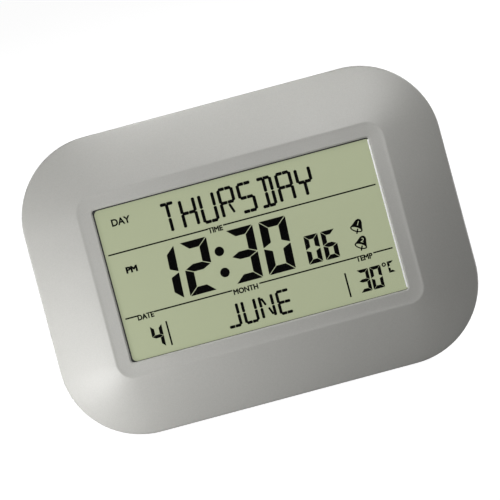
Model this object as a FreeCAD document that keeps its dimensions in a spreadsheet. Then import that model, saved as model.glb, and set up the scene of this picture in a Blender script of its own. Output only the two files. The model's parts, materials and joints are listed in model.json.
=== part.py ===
import FreeCAD, Part
import math
import os
import re

import Sketcher
from FreeCAD import Placement, Rotation, Vector

# Large-digit day clock in a moulded case, leaning back on its rim and a fold-out leg.
# Every piece is drawn in the upright case frame: x to the right, z up from the case's bottom
# outline, y = 0 at the front crest and growing towards the back. The whole clock is then leaned.

SIZES = {
    # case
    "case_width": 255,
    "case_height": 181,
    "case_corner": 48.7,
    "case_depth": 32,
    "lean": 12,
    # sloping band from the crest back to the rim
    "band_fall": 11.5,
    "band_bulge": 0.9,
    "crest_corner": 10,
    "crest_land": 0.3,
    "rim_depth": 5.5,
    "rim_round": 1.2,
    "bezel_wall": 2.4,
    "standing_cut": 0.45,
    # dished ring between the crest and the window
    "ring_dip": 1.2,
    "ring_foot": 0.85,
    "ring_shoulder": 2.5,
    "ring_side_width": 8.8,
    "ring_end_width": 8.5,
    "ring_clearance": 0.1,
    "view_side_lap": 3.5,
    "view_end_lap": 2.4,
    "window_corner": 2,
    "window_lip": 1.4,
    # clear pane and its tape
    "pane_lap": 4,
    "tape_corner": 1.2,
    "tape_inner_corner": 0.8,
    "pane_thickness": 1.5,
    "tape_thickness": 0.2,
    "tape_width": 3,
    # liquid crystal display
    "display_gap": 0.2,
    "film_corner": 1,
    "glass_corner": 0.5,
    "display_width": 177,
    "display_height": 105,
    "display_ledge": 3.2,
    "film_thickness": 0.2,
    "film_margin": 0.6,
    "glass_thickness": 1.1,
    "seal_thickness": 0.15,
    "seal_width": 2,
    "reflector_thickness": 0.25,
    # display holder and circuit board
    "holder_clearance": 0.2,
    "holder_wall": 1.4,
    "holder_floor": 1.5,
    "holder_frame": 9,
    "holder_corner": 1.5,
    "opening_corner": 3,
    "strip_width": 2.4,
    "strip_length": 150,
    "strip_clearance": 0.3,
    "board_lift": 1.7,
    "board_thickness": 1.6,
    "board_corner": 2,
    "ear_radius": 4,
    "ear_side_reach": 6.4,
    "ear_end_x": 60,
    "ear_end_reach": 5.4,
    "board_post_radius": 3,
    "board_screw_radius": 1.1,
    "board_screw_length": 6.5,
    "board_head_radius": 2.1,
    "board_head_height": 1.3,
    # rear cover
    "cover_inset": 1.2,
    "cover_edge": 1.5,
    "cover_wall": 2.2,
    "cover_tongue": 1.5,
    "cover_tongue_wall": 1.6,
    "cover_fit": 0.15,
    "back_width": 210,
    "back_height": 142,
    "back_corner": 34,
    # cover screws in wells over the bezel's posts
    "screw_end_x": 72,
    "screw_end_reach": 12.4,
    "screw_side_reach": 7.9,
    "screw_side_rise": 13.5,
    "post_radius": 3.2,
    "screw_radius": 1.4,
    "screw_length": 12,
    "screw_head_radius": 2.7,
    "screw_head_height": 2,
    "screw_grip": 2,
    "screw_clearance": 0.3,
    "well_wall": 1.2,
    "fit_gap": 0.02,
    # fold-out leg
    "stand_swing": 28,
    "leg_width": 56,
    "leg_thickness": 4.4,
    "leg_skin": 1.6,
    "leg_rib": 2.4,
    "leg_corner": 5,
    "leg_gap": 0.3,
    "hinge_height": 92,
    "pin_radius": 1.25,
    "pin_clearance": 0.06,
    "pin_seat": 3.5,
    "pin_boss": 4,
    "foot_length": 42,
    "foot_height": 3,
    # battery bay and door
    "cell_length": 49.2,
    "cell_radius": 7.25,
    "cell_nub_radius": 2.75,
    "cell_nub_length": 1.3,
    "cell_spacing": 15.4,
    "bay_gap": 9.7,
    "bay_length": 58,
    "bay_bottom": 52,
    "bay_margin": 0.4,
    "bay_wall": 1.6,
    "door_thickness": 2,
    "door_gap": 0.25,
    "door_lap": 2.6,
    "rail_depth": 0.9,
    "rail_thickness": 0.9,
    "contact_thickness": 0.4,
    "contact_width": 10,
    "contact_tab": 4,
    "tab_length": 5,
    "spring_wire": 0.7,
    "spring_base": 4.4,
    "spring_top": 2.6,
    "spring_turns": 3.5,
    "grip_margin": 5,
    "grip_pitch": 2.5,
    "grip_length": 14,
    "grip_radius": 0.6,
    "grip_rise": 0.5,
    "wire_radius": 0.6,
    "wire_bend": 3,
    "wire_run": 7,
    # buttons on the back
    "button_margin": 17,
    "button_bottom": 59,
    "button_pitch_x": 19,
    "button_pitch_z": 17,
    "button_length": 10,
    "button_height": 6,
    "button_proud": 1,
    "button_gap": 0.2,
    "button_flange": 1.2,
    "button_flange_lap": 1.1,
    "button_bevel": 0.5,
    "button_travel": 0.8,
    "rest_gap": 0.1,
    "plunger_radius": 1.7,
    "plunger_length": 2.1,
    "plunger_proud": 1.3,
    "switch_size": 6,
    "switch_height": 3.5,
    "key_board_thickness": 1.2,
    "key_board_margin": 6,
    "key_post_radius": 2.6,
    "key_screw_grip": 4,
    "ribbon_width": 12,
    "ribbon_thickness": 0.7,
    # buzzer, sound holes, vents and sensor
    "buzzer_height": 120,
    "buzzer_radius": 13.5,
    "buzzer_thickness": 0.3,
    "ceramic_radius": 10,
    "ceramic_thickness": 0.25,
    "buzzer_ring_width": 1.8,
    "buzzer_ring_height": 3,
    "sound_hole_radius": 1,
    "sound_hole_circle": 5,
    "vent_height": 120,
    "vent_length": 16,
    "vent_width": 1.6,
    "vent_pitch": 4,
    "sensor_radius": 1.5,
    "sensor_lead": 0.3,
    "sensor_lead_spread": 1.6,
    "sensor_clearance": 1.5,
    # keyhole for hanging on a wall
    "keyhole_height": 148,
    "keyhole_radius": 4.5,
    "keyhole_slot_radius": 2.3,
    "keyhole_slot_rise": 9,
    # parts on the circuit board
    "chip_radius": 8,
    "chip_height": 1.6,
    "chip_shoulder": 1.1,
    "chip_rise": 12,
    "crystal_radius": 1.5,
    "crystal_length": 8,
    "crystal_x": 18,
    "crystal_rise": 22,
    "capacitor_radius": 3.1,
    "capacitor_height": 7,
    "capacitor_x": 20,
    "capacitor_drop": 22,
    "resistor_length": 3.2,
    "resistor_width": 1.6,
    "resistor_height": 0.6,
    "resistor_pitch": 4.8,
    "resistor_left": -16,
    "resistor_drop": 8,
}

# Places along the depth and other sums, each worked out from the sizes above.
PLACES = {
    "middle": "case_height / 2",
    "window_width": "display_width - 2 * view_side_lap",
    "window_height": "rear_glass_height - 2 * view_end_lap",
    "crest_width": "window_width + 2 * ring_side_width",
    "crest_height": "window_height + 2 * ring_end_width",
    "rim_back": "band_fall + rim_depth",
    "pane_front": "ring_dip + window_lip + tape_thickness",
    "pane_back": "pane_front + pane_thickness",
    "pane_width": "window_width + 2 * pane_lap",
    "pane_height": "window_height + 2 * pane_lap",
    "tape_front": "ring_dip + window_lip",
    "display_front": "pane_back + display_gap",
    "glass_front": "display_front + film_thickness",
    "seal_front": "glass_front + glass_thickness",
    "rear_glass_front": "seal_front + seal_thickness",
    "reflector_front": "rear_glass_front + glass_thickness",
    "display_back": "reflector_front + reflector_thickness",
    "rear_glass_height": "display_height - 2 * display_ledge",
    "holder_front": "display_back + display_gap / 2",
    "holder_back": "holder_front + holder_floor",
    "holder_width": "display_width + 2 * (holder_clearance + holder_wall)",
    "holder_height": "display_height + 2 * (holder_clearance + holder_wall)",
    "strip_rise": "display_height / 2 - display_ledge / 2",
    "ear_side_x": "holder_width / 2 + ear_side_reach",
    "ear_end_rise": "holder_height / 2 + ear_end_reach",
    "screw_side_x": "holder_width / 2 + screw_side_reach",
    "screw_end_rise": "holder_height / 2 + screw_end_reach",
    "board_front": "holder_back + board_lift",
    "board_back": "board_front + board_thickness",
    "band_slope": "band_fall / rim_run",
    "cavity_rim": "band_fall + bezel_wall / cos(atan(band_slope)) - bezel_wall * band_slope",
    "rim_run": "(case_width - crest_width) / 2",
    "cover_hole_front": "rim_back - (screw_length - screw_grip) - screw_clearance",
    "board_hole_front": "board_back - board_screw_length - screw_clearance",
    "cover_width": "case_width - 2 * cover_inset",
    "cover_height": "case_height - 2 * cover_inset",
    "cover_corner": "case_corner - cover_inset",
    "cover_shoulder": "rim_back + cover_edge",
    "cover_inside": "case_depth - cover_wall",
    "cover_edge_wall": "bezel_wall + cover_fit + cover_tongue_wall - cover_inset",
    "tongue_inset": "bezel_wall + cover_fit",
    "tongue_front": "rim_back - cover_tongue",
    "well_radius": "screw_head_radius + screw_clearance",
    "well_floor": "rim_back + screw_grip",
    "hinge_y": "(leg_front + leg_back) / 2",
    "leg_back": "case_depth - leg_gap",
    "leg_front": "leg_back - leg_thickness",
    "recess_floor": "leg_front - leg_gap",
    "recess_half": "leg_width / 2 + leg_gap",
    "recess_top": "hinge_height + leg_thickness / 2 + leg_gap * 2",
    "recess_wall_front": "recess_floor - cover_wall",
    "foot_turn": "stand_swing - lean",
    "hinge_rise": "hinge_height * cos(lean) - (hinge_y - rim_back) * sin(lean)",
    "leg_reach": "(hinge_rise - standing_cut) / cos(foot_turn)",
    "foot_top": "hinge_height - leg_reach + foot_height",
    "door_front": "case_depth - door_thickness",
    "cell_back": "door_front - bay_margin",
    "cell_axis": "cell_back - cell_radius",
    "bay_floor": "cell_axis - cell_radius - bay_margin",
    "bay_front": "bay_floor - bay_wall",
    "bay_left": "recess_half + bay_gap",
    "bay_right": "bay_left + bay_length",
    "bay_top": "bay_bottom + cell_spacing + 2 * (cell_radius + bay_margin)",
    "cell_low": "bay_bottom + bay_margin + cell_radius",
    "cell_high": "cell_low + cell_spacing",
    "door_left": "bay_left - door_lap",
    "door_bottom": "bay_bottom - door_lap",
    "door_top": "bay_top + door_lap",
    "button_left": "button_margin - back_width / 2",
    "buzzer_x": "button_left + button_pitch_x",
    "vent_x": "-(buzzer_x)",
    "flange_back": "cover_inside - rest_gap",
    "flange_front": "flange_back - button_flange",
    "plunger_back": "flange_front - rest_gap",
    "plunger_front": "plunger_back - plunger_length",
    "switch_back": "plunger_back - plunger_proud",
    "switch_front": "switch_back - switch_height",
    "key_board_front": "switch_front - key_board_thickness",
    "buzzer_back": "cover_inside - buzzer_ring_height",
    "buzzer_front": "buzzer_back - buzzer_thickness",
    "sensor_y": "cover_inside - sensor_radius - sensor_clearance",
    "spring_space": "bay_length - 2 * contact_thickness - cell_length - cell_nub_length",
}

BUTTONS = ("set", "up", "down", "alarm", "snooze", "unit")
BUTTON_COLUMNS = 3
GRIP_RIBS = 4
RESISTORS = 4
SOUND_HOLES = 6
VENT_ROWS = 2
COIL_STEPS = 10
WIRE_SIDES = 6
SHARP_CORNERS = 1

document = FreeCAD.newDocument("day_clock")
sheet = document.addObject("Spreadsheet::Sheet", "sizes")
for row, (size_name, size_value) in enumerate(SIZES.items(), start=1):
    sheet.set(f"A{row}", size_name)
    sheet.set(f"B{row}", str(size_value))
    sheet.setAlias(f"B{row}", size_name)
document.recompute()
finished = []


def formula(text):
    """The sheet expression for a formula written with the plain names above."""
    def spelled(match):
        word = match.group(0)
        if word in PLACES:
            return f"({formula(PLACES[word])})"
        return f"sizes.{word}" if word in SIZES else word
    return re.sub(r"[a-z_]+[a-z]", spelled, str(text))


def measure(text):
    return float(sheet.evalExpression(formula(text)))


# Sketch helpers


def sketch_on(body, name, plane, position):
    """A sketch across one axis: "front" across y, "top" across z, "side" across x."""
    role = {"front": "XZ_Plane", "top": "XY_Plane", "side": "YZ_Plane"}[plane]
    sign = "-" if plane == "front" else ""
    sketch = body.newObject("Sketcher::SketchObject", name)
    origin_plane = next(item for item in body.Origin.OriginFeatures if item.Role == role)
    sketch.AttachmentSupport = (origin_plane, [""])
    sketch.MapMode = "FlatFace"
    sketch.setExpression("AttachmentOffset.Base.z", f"{sign}({formula(position)})")
    return sketch


def constrain(sketch, kind, *places):
    """A driving distance; the last place is the formula that it follows."""
    value = measure(places[-1])
    if abs(value) < 1e-7 and kind in ("DistanceX", "DistanceY"):
        axis = -2 if kind == "DistanceX" else -1
        sketch.addConstraint(Sketcher.Constraint("PointOnObject", *places[2:4], axis))
        return
    index = sketch.addConstraint(Sketcher.Constraint(kind, *places[:-1], value))
    sketch.setExpression(f"Constraints[{index}]", formula(places[-1]))


def fix_point(sketch, geometry, corner, across, up):
    constrain(sketch, "DistanceX", -1, 1, geometry, corner, across)
    constrain(sketch, "DistanceY", -1, 1, geometry, corner, up)


def polygon(sketch, corners):
    """A closed outline through corners given as pairs of formulas."""
    spots = [Vector(measure(across), measure(up), 0) for across, up in corners]
    first = sketch.GeometryCount
    count = len(spots)
    for place, spot in enumerate(spots):
        sketch.addGeometry(Part.LineSegment(spot, spots[(place + 1) % count]), False)
    for place in range(count):
        following = first + (place + 1) % count
        sketch.addConstraint(Sketcher.Constraint("Coincident", first + place, 2, following, 1))
    for place, (across, up) in enumerate(corners):
        fix_point(sketch, first + place, 1, across, up)


def rectangle(sketch, left, right, bottom, top):
    polygon(sketch, [(left, bottom), (right, bottom), (right, top), (left, top)])


def rounded(sketch, width, height, corner, across="0", up="middle"):
    """A rectangle with round corners about a centre."""
    half_x, half_z, radius = measure(f"({width}) / 2"), measure(f"({height}) / 2"), measure(corner)
    centre = Vector(measure(across), measure(up), 0)
    inner_x, inner_z = half_x - radius, half_z - radius
    first = sketch.GeometryCount
    sides = [((-inner_x, -half_z), (inner_x, -half_z)), ((half_x, -inner_z), (half_x, inner_z)),
             ((inner_x, half_z), (-inner_x, half_z)), ((-half_x, inner_z), (-half_x, -inner_z))]
    for start, end in sides:
        line = Part.LineSegment(centre + Vector(*start, 0), centre + Vector(*end, 0))
        sketch.addGeometry(line, False)
    turns = [(inner_x, -inner_z, -0.5), (inner_x, inner_z, 0),
             (-inner_x, inner_z, 0.5), (-inner_x, -inner_z, 1)]
    for x, z, start in turns:
        circle = Part.Circle(centre + Vector(x, z, 0), Vector(0, 0, 1), radius)
        arc = Part.ArcOfCircle(circle, start * math.pi, (start + 0.5) * math.pi)
        sketch.addGeometry(arc, False)
    middle_point = sketch.addGeometry(Part.Point(centre), True)
    for side in range(4):
        line, arc, following = first + side, first + 4 + side, first + (side + 1) % 4
        sketch.addConstraint(Sketcher.Constraint("Tangent", line, 2, arc, 1))
        sketch.addConstraint(Sketcher.Constraint("Tangent", arc, 2, following, 1))
    for side in (0, 2):
        sketch.addConstraint(Sketcher.Constraint("Horizontal", first + side))
        sketch.addConstraint(Sketcher.Constraint("Vertical", first + side + 1))
    for arc in (4, 5, 6):
        sketch.addConstraint(Sketcher.Constraint("Equal", first + arc, first + arc + 1))
    sketch.addConstraint(Sketcher.Constraint("Symmetric", first + 4, 3, first + 6, 3, middle_point, 1))
    fix_point(sketch, middle_point, 1, across, up)
    constrain(sketch, "Radius", first + 4, corner)
    constrain(sketch, "DistanceX", first + 3, 1, first + 1, 1, width)
    constrain(sketch, "DistanceY", first, 1, first + 2, 1, height)


def circle(sketch, across, up, radius):
    centre = Vector(measure(across), measure(up), 0)
    ring = sketch.addGeometry(Part.Circle(centre, Vector(0, 0, 1), measure(radius)), False)
    fix_point(sketch, ring, 3, across, up)
    constrain(sketch, "Radius", ring, radius)


def obround(sketch, start, end, radius):
    """A slot outline from one centre to another, level or upright."""
    first_centre = Vector(measure(start[0]), measure(start[1]), 0)
    last_centre = Vector(measure(end[0]), measure(end[1]), 0)
    size = measure(radius)
    along = (last_centre - first_centre).normalize()
    side = Vector(-along.y, along.x, 0) * size
    angle = math.atan2(along.y, along.x)
    up_z = Vector(0, 0, 1)
    first = sketch.addGeometry(Part.LineSegment(first_centre - side, last_centre - side), False)
    sketch.addGeometry(Part.ArcOfCircle(Part.Circle(last_centre, up_z, size),
                                        angle - math.pi / 2, angle + math.pi / 2), False)
    sketch.addGeometry(Part.LineSegment(last_centre + side, first_centre + side), False)
    sketch.addGeometry(Part.ArcOfCircle(Part.Circle(first_centre, up_z, size),
                                        angle + math.pi / 2, angle + 1.5 * math.pi), False)
    for place in range(4):
        following = first + (place + 1) % 4
        sketch.addConstraint(Sketcher.Constraint("Tangent", first + place, 2, following, 1))
    fix_point(sketch, first + 3, 3, *start)
    fix_point(sketch, first + 1, 3, *end)
    constrain(sketch, "Radius", first + 1, radius)


# Feature helpers


def new_body(name):
    body = document.addObject("PartDesign::Body", name)
    body.AllowCompound = True
    return body


def extrude(body, name, plane, low, high, draw, cut=False):
    """Draws a profile at the low place and adds it, or cuts it, up to the high place."""
    sketch = sketch_on(body, f"{name}_profile", plane, low)
    draw(sketch)
    kind = "Pocket" if cut else "Pad"
    before = body.Shape.Volume if cut else 0
    feature = body.newObject(f"PartDesign::{kind}", name)
    feature.Profile = sketch
    feature.setExpression("Length", formula(f"({high}) - ({low})"))
    feature.Reversed = (plane == "front") != (cut and plane != "front") if not cut else plane != "front"
    document.recompute()
    if cut and body.Shape.Volume >= before - 1e-6:
        raise RuntimeError(f"{name} cuts nothing")
    return feature


def cut_out(body, name, plane, low, high, draw):
    return extrude(body, name, plane, low, high, draw, cut=True)


def loft(body, name, sections, cut=False):
    """Joins outlines, each a place along y with its drawing function."""
    sketches = []
    for number, (place, draw) in enumerate(sections):
        sketch = sketch_on(body, f"{name}_section_{number}", "front", place)
        draw(sketch)
        sketches.append(sketch)
    kind = "SubtractiveLoft" if cut else "AdditiveLoft"
    feature = body.newObject(f"PartDesign::{kind}", name)
    feature.Profile = sketches[0]
    feature.Sections = sketches[1:]
    document.recompute()


def edges_where(body, fits):
    """The names of a body's edges whose every corner, and whose centre, passes a test."""
    names = []
    for number, edge in enumerate(body.Shape.Edges, start=1):
        spots = [corner.Point for corner in edge.Vertexes] + [edge.CenterOfMass]
        if all(fits(spot) for spot in spots):
            names.append(f"Edge{number}")
    return names


def near(value, text):
    return abs(value - measure(text)) < 1e-4


def soften(body, kind, name, edges, size):
    """Rounds or bevels a body's edges, by a Fillet or a Chamfer."""
    base = body.Tip
    feature = body.newObject(f"PartDesign::{kind}", name)
    feature.Base = (base, edges)
    feature.setExpression("Radius" if kind == "Fillet" else "Size", formula(size))
    document.recompute()


def finish(item, name):
    """Names a finished sub-part, whose label is its file's name."""
    item.Label = name
    finished.append(item)


def plate(name, low, high, *drawings):
    """A flat piece: each drawing adds its outline between two places along y."""
    body = new_body(name)
    for number, draw in enumerate(drawings):
        extrude(body, f"{name}_plate_{number}", "front", low, high, draw)
    finish(body, name)
    return body


def board_spots():
    """The six screw places shared by the bezel's posts, the holder's ears and the board's ears."""
    spots = []
    for side in ("-", ""):
        spots.append((f"{side}ear_side_x", "middle", f"{side}(holder_width / 2 - ear_radius)", "middle"))
        for end in ("-", "+"):
            spots.append((f"{side}ear_end_x", f"middle {end} ear_end_rise", f"{side}ear_end_x",
                          f"middle {end} (holder_height / 2 - ear_radius)"))
    return spots


def cover_spots():
    """The six screw places shared by the bezel's posts and the cover's wells."""
    spots = []
    for side in ("-", ""):
        spots.append((f"{side}screw_side_x", "middle + screw_side_rise"))
        for end in ("-", "+"):
            spots.append((f"{side}screw_end_x", f"middle {end} screw_end_rise"))
    return spots


def circles(spots, radius):
    def draw(sketch):
        for spot in spots:
            circle(sketch, spot[0], spot[1], radius)
    return draw


def ears(sketch):
    for across, up, root_across, root_up in board_spots():
        obround(sketch, (root_across, root_up), (across, up), "ear_radius")


# Front bezel


def case_outline(inset="0", share="1"):
    """The case's outline drawn in by an inset, or part of the way to the crest's outline."""
    def draw(sketch):
        rounded(sketch, f"crest_width + (case_width - 2 * ({inset}) - crest_width) * ({share})",
                f"crest_height + (case_height - 2 * ({inset}) - crest_height) * ({share})",
                f"crest_corner + (case_corner - ({inset}) - crest_corner) * ({share})")
    return draw


def crest_outline(inset):
    def draw(sketch):
        rounded(sketch, f"crest_width - 2 * ({inset})", f"crest_height - 2 * ({inset})",
                f"crest_corner - ({inset}) / 2")
    return draw


def window_outline(outset="0"):
    def draw(sketch):
        rounded(sketch, f"window_width + 2 * ({outset})", f"window_height + 2 * ({outset})",
                f"window_corner + ({outset})")
    return draw


def standing_edge(sketch):
    """The wedge cut from the rim's lower back edge, so that it stands flat when leaning."""
    start = "rim_back - standing_cut / sin(lean)"
    past = "rim_back + standing_cut"
    below = "-standing_cut"
    rise = f"({past} - ({start})) * tan(lean)"
    polygon(sketch, [(start, "0"), (start, below), (past, below), (past, rise)])


def build_bezel():
    outer = new_body("bezel_outer")
    extrude(outer, "rim", "front", "band_fall", "rim_back", case_outline())
    loft(outer, "band", [("band_fall", case_outline()),
                         ("band_fall / 2 - band_bulge", case_outline(share="0.5")),
                         ("0", crest_outline("0"))])
    rim_edges = edges_where(outer, lambda spot: near(spot.y, "band_fall"))
    soften(outer, "Fillet", "rim_rounding", rim_edges, "rim_round")
    loft(outer, "ring_foot", [("0", crest_outline("crest_land")),
                              ("ring_foot", crest_outline("ring_shoulder"))], cut=True)
    loft(outer, "ring_dish", [("ring_foot", crest_outline("ring_shoulder")),
                              ("ring_dip", window_outline("ring_clearance"))], cut=True)
    cut_out(outer, "window", "front", "0", "rim_back", window_outline())
    cut_out(outer, "standing_edge", "side", "-case_width / 2", "case_width / 2", standing_edge)
    cut_out(outer, "cover_screw_holes", "front", "cover_hole_front", "rim_back",
            circles(cover_spots(), "screw_radius + fit_gap"))
    cut_out(outer, "board_screw_holes", "front", "board_hole_front", "rim_back",
            circles(board_spots(), "board_screw_radius + fit_gap"))
    core = new_body("bezel_core")
    extrude(core, "core_rim", "front", "cavity_rim", "rim_back", case_outline("bezel_wall"))
    loft(core, "core_band", [("cavity_rim", case_outline("bezel_wall")), ("tape_front", crest_outline("0"))])
    cut_out(core, "cover_posts", "front", "0", "rim_back", circles(cover_spots(), "post_radius"))
    cut_out(core, "board_posts", "front", "0", "holder_front", circles(board_spots(), "board_post_radius"))
    bezel = document.addObject("Part::Cut", "front_bezel")
    bezel.Base = outer
    bezel.Tool = core
    finish(bezel, "front_bezel")


# Pane, display and circuit board


def build_display():
    def film(sketch):
        rounded(sketch, "display_width - 2 * film_margin", "rear_glass_height - 2 * film_margin",
                "film_corner")

    def frame_of(width, height, border):
        def draw(sketch):
            rounded(sketch, width, height, "tape_corner")
            rounded(sketch, f"{width} - 2 * ({border})", f"{height} - 2 * ({border})", "tape_inner_corner")
        return draw

    plate("window_tape", "tape_front", "pane_front", frame_of("pane_width", "pane_height", "tape_width"))
    plate("display_window", "pane_front", "pane_back",
          lambda sketch: rounded(sketch, "pane_width", "pane_height", "window_corner"))
    plate("lcd_front_polarizer", "display_front", "glass_front", film)
    plate("lcd_front_glass", "glass_front", "seal_front",
          lambda sketch: rounded(sketch, "display_width", "display_height", "glass_corner"))
    plate("lcd_seal", "seal_front", "rear_glass_front",
          frame_of("display_width", "rear_glass_height", "seal_width"))
    plate("lcd_rear_glass", "rear_glass_front", "reflector_front",
          lambda sketch: rounded(sketch, "display_width", "rear_glass_height", "glass_corner"))
    plate("lcd_reflector", "reflector_front", "display_back", film)


def strip_slot(end, gap):
    def draw(sketch):
        half, thick = f"(strip_length / 2 + {gap})", f"(strip_width / 2 + {gap})"
        rise = f"middle {end} strip_rise"
        rectangle(sketch, f"-{half}", half, f"{rise} - {thick}", f"{rise} + {thick}")
    return draw


def build_holder_and_board():
    holder = new_body("lcd_holder")
    extrude(holder, "holder_walls", "front", "display_front", "holder_back",
            lambda sketch: rounded(sketch, "holder_width", "holder_height", "holder_corner"))
    cut_out(holder, "display_pocket", "front", "display_front", "holder_front",
            lambda sketch: rounded(sketch, "display_width + 2 * holder_clearance",
                                   "display_height + 2 * holder_clearance", "glass_corner"))
    cut_out(holder, "holder_opening", "front", "holder_front", "holder_back",
            lambda sketch: rounded(sketch, "holder_width - 4 * holder_frame",
                                   "holder_height - 2 * holder_frame - 2 * display_ledge", "opening_corner"))
    extrude(holder, "holder_ears", "front", "holder_front", "board_front", ears)
    for end, side in (("-", "bottom"), ("+", "top")):
        cut_out(holder, f"{side}_strip_slot", "front", "holder_front", "board_front",
                strip_slot(end, "strip_clearance"))
    cut_out(holder, "ear_holes", "front", "holder_front", "board_front",
            circles(board_spots(), "board_screw_radius + fit_gap"))
    finish(holder, "lcd_holder")
    for end, side in (("-", "bottom"), ("+", "top")):
        plate(f"zebra_strip_{side}", "seal_front", "board_front", strip_slot(end, "0"))

    board = new_body("circuit_board")
    extrude(board, "board_sheet", "front", "board_front", "board_back",
            lambda sketch: rounded(sketch, "holder_width", "holder_height", "board_corner"))
    extrude(board, "board_ears", "front", "board_front", "board_back", ears)
    cut_out(board, "board_holes", "front", "board_front", "board_back",
            circles(board_spots(), "board_screw_radius + fit_gap"))
    finish(board, "circuit_board")

    screws = new_body("board_screws")
    extrude(screws, "board_screw_heads", "front", "board_back", "board_back + board_head_height",
            circles(board_spots(), "board_head_radius"))
    extrude(screws, "board_screw_shanks", "front", "board_back - board_screw_length", "board_back",
            circles(board_spots(), "board_screw_radius"))
    finish(screws, "board_screws")


def on_board(name, height, *drawings):
    plate(name, "board_back", f"board_back + {height}", *drawings)


def build_board_parts():
    chip = new_body("clock_chip")
    blob = sketch_on(chip, "chip_section", "top", "middle + chip_rise")
    polygon(blob, [("0", "board_back"), ("chip_radius", "board_back"),
                   ("chip_radius - chip_height / 2", "board_back + chip_shoulder"),
                   ("chip_radius / 2", "board_back + chip_height"), ("0", "board_back + chip_height")])
    dome = chip.newObject("PartDesign::Revolution", "chip_dome")
    dome.Profile = blob
    dome.ReferenceAxis = (blob, ["V_Axis"])
    document.recompute()
    finish(chip, "clock_chip")

    crystal = new_body("quartz_crystal")
    extrude(crystal, "crystal_can", "side", "crystal_x", "crystal_x + crystal_length",
            lambda sketch: circle(sketch, "board_back + crystal_radius", "middle + crystal_rise",
                                  "crystal_radius"))
    finish(crystal, "quartz_crystal")

    on_board("filter_capacitor", "capacitor_height",
             lambda sketch: circle(sketch, "capacitor_x", "middle - capacitor_drop", "capacitor_radius"))

    def resistors(sketch):
        for column in range(RESISTORS):
            left = f"resistor_left + {column} * resistor_pitch"
            bottom = "middle - resistor_drop"
            rectangle(sketch, left, f"{left} + resistor_width", bottom, f"{bottom} + resistor_length")
    on_board("board_resistors", "resistor_height", resistors)

    sensor = new_body("temperature_sensor")
    leads = [(f"vent_x {side} sensor_lead_spread / 2", "vent_height") for side in ("-", "+")]
    extrude(sensor, "sensor_leads", "front", "board_back", "sensor_y", circles(leads, "sensor_lead"))
    extrude(sensor, "sensor_bead", "front", "sensor_y - sensor_radius", "sensor_y + sensor_radius",
            circles([("vent_x", "vent_height")], "sensor_radius"))
    finish(sensor, "temperature_sensor")


# Rear cover


def cover_outline(inset):
    def draw(sketch):
        rounded(sketch, f"cover_width - 2 * ({inset})", f"cover_height - 2 * ({inset})",
                f"cover_corner - ({inset})")
    return draw


def back_outline(inset="0"):
    def draw(sketch):
        rounded(sketch, f"back_width - 2 * ({inset})", f"back_height - 2 * ({inset})",
                f"back_corner - ({inset})")
    return draw


def tongue_ring(sketch):
    for inset in ("tongue_inset", "tongue_inset + cover_tongue_wall"):
        rounded(sketch, f"case_width - 2 * ({inset})", f"case_height - 2 * ({inset})",
                f"case_corner - ({inset})")


def leg_recess(wall):
    def draw(sketch):
        half = f"recess_half + {wall}"
        rectangle(sketch, f"-({half})", half, "0", f"recess_top + {wall}")
    return draw


def bay(wall):
    def draw(sketch):
        rectangle(sketch, f"bay_left - {wall}", f"bay_right + {wall}",
                  f"bay_bottom - {wall}", f"bay_top + {wall}")
    return draw


def button_spots():
    return [(f"button_left + {number % BUTTON_COLUMNS} * button_pitch_x",
             f"button_bottom + {number // BUTTON_COLUMNS} * button_pitch_z")
            for number in range(len(BUTTONS))]


def button_outlines(gap):
    def draw(sketch):
        for spot in button_spots():
            button_outline(spot, gap)(sketch)
    return draw


def button_outline(spot, gap):
    def draw(sketch):
        half = "(button_length - button_height) / 2"
        obround(sketch, (f"{spot[0]} - {half}", spot[1]), (f"{spot[0]} + {half}", spot[1]),
                f"button_height / 2 + {gap}")
    return draw


def key_post_spots():
    """Two posts between the button columns."""
    return [(f"button_left + ({column} - 0.5) * button_pitch_x", "button_bottom + button_pitch_z / 2")
            for column in range(1, BUTTON_COLUMNS)]


def sound_hole_spots():
    spots = [("buzzer_x", "buzzer_height")]
    for number in range(SOUND_HOLES):
        turn = f"{number * 360 / SOUND_HOLES}"
        spots.append((f"buzzer_x + sound_hole_circle * cos({turn})",
                      f"buzzer_height + sound_hole_circle * sin({turn})"))
    return spots


def vent_slots(sketch):
    for number in range(-VENT_ROWS, VENT_ROWS + 1):
        up = f"vent_height + {number} * vent_pitch"
        half = "(vent_length - vent_width) / 2"
        obround(sketch, (f"vent_x - {half}", up), (f"vent_x + {half}", up), "vent_width / 2")


def tab_slots(gap):
    """The solder tabs through the bay's inner end wall, one behind each cell."""
    def draw(sketch):
        for cell in ("cell_low", "cell_high"):
            half, rise = f"(contact_thickness / 2 + {gap})", f"(contact_tab / 2 + {gap})"
            rectangle(sketch, f"cell_axis - {half}", f"cell_axis + {half}",
                      f"{cell} - {rise}", f"{cell} + {rise}")
    return draw


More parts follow.
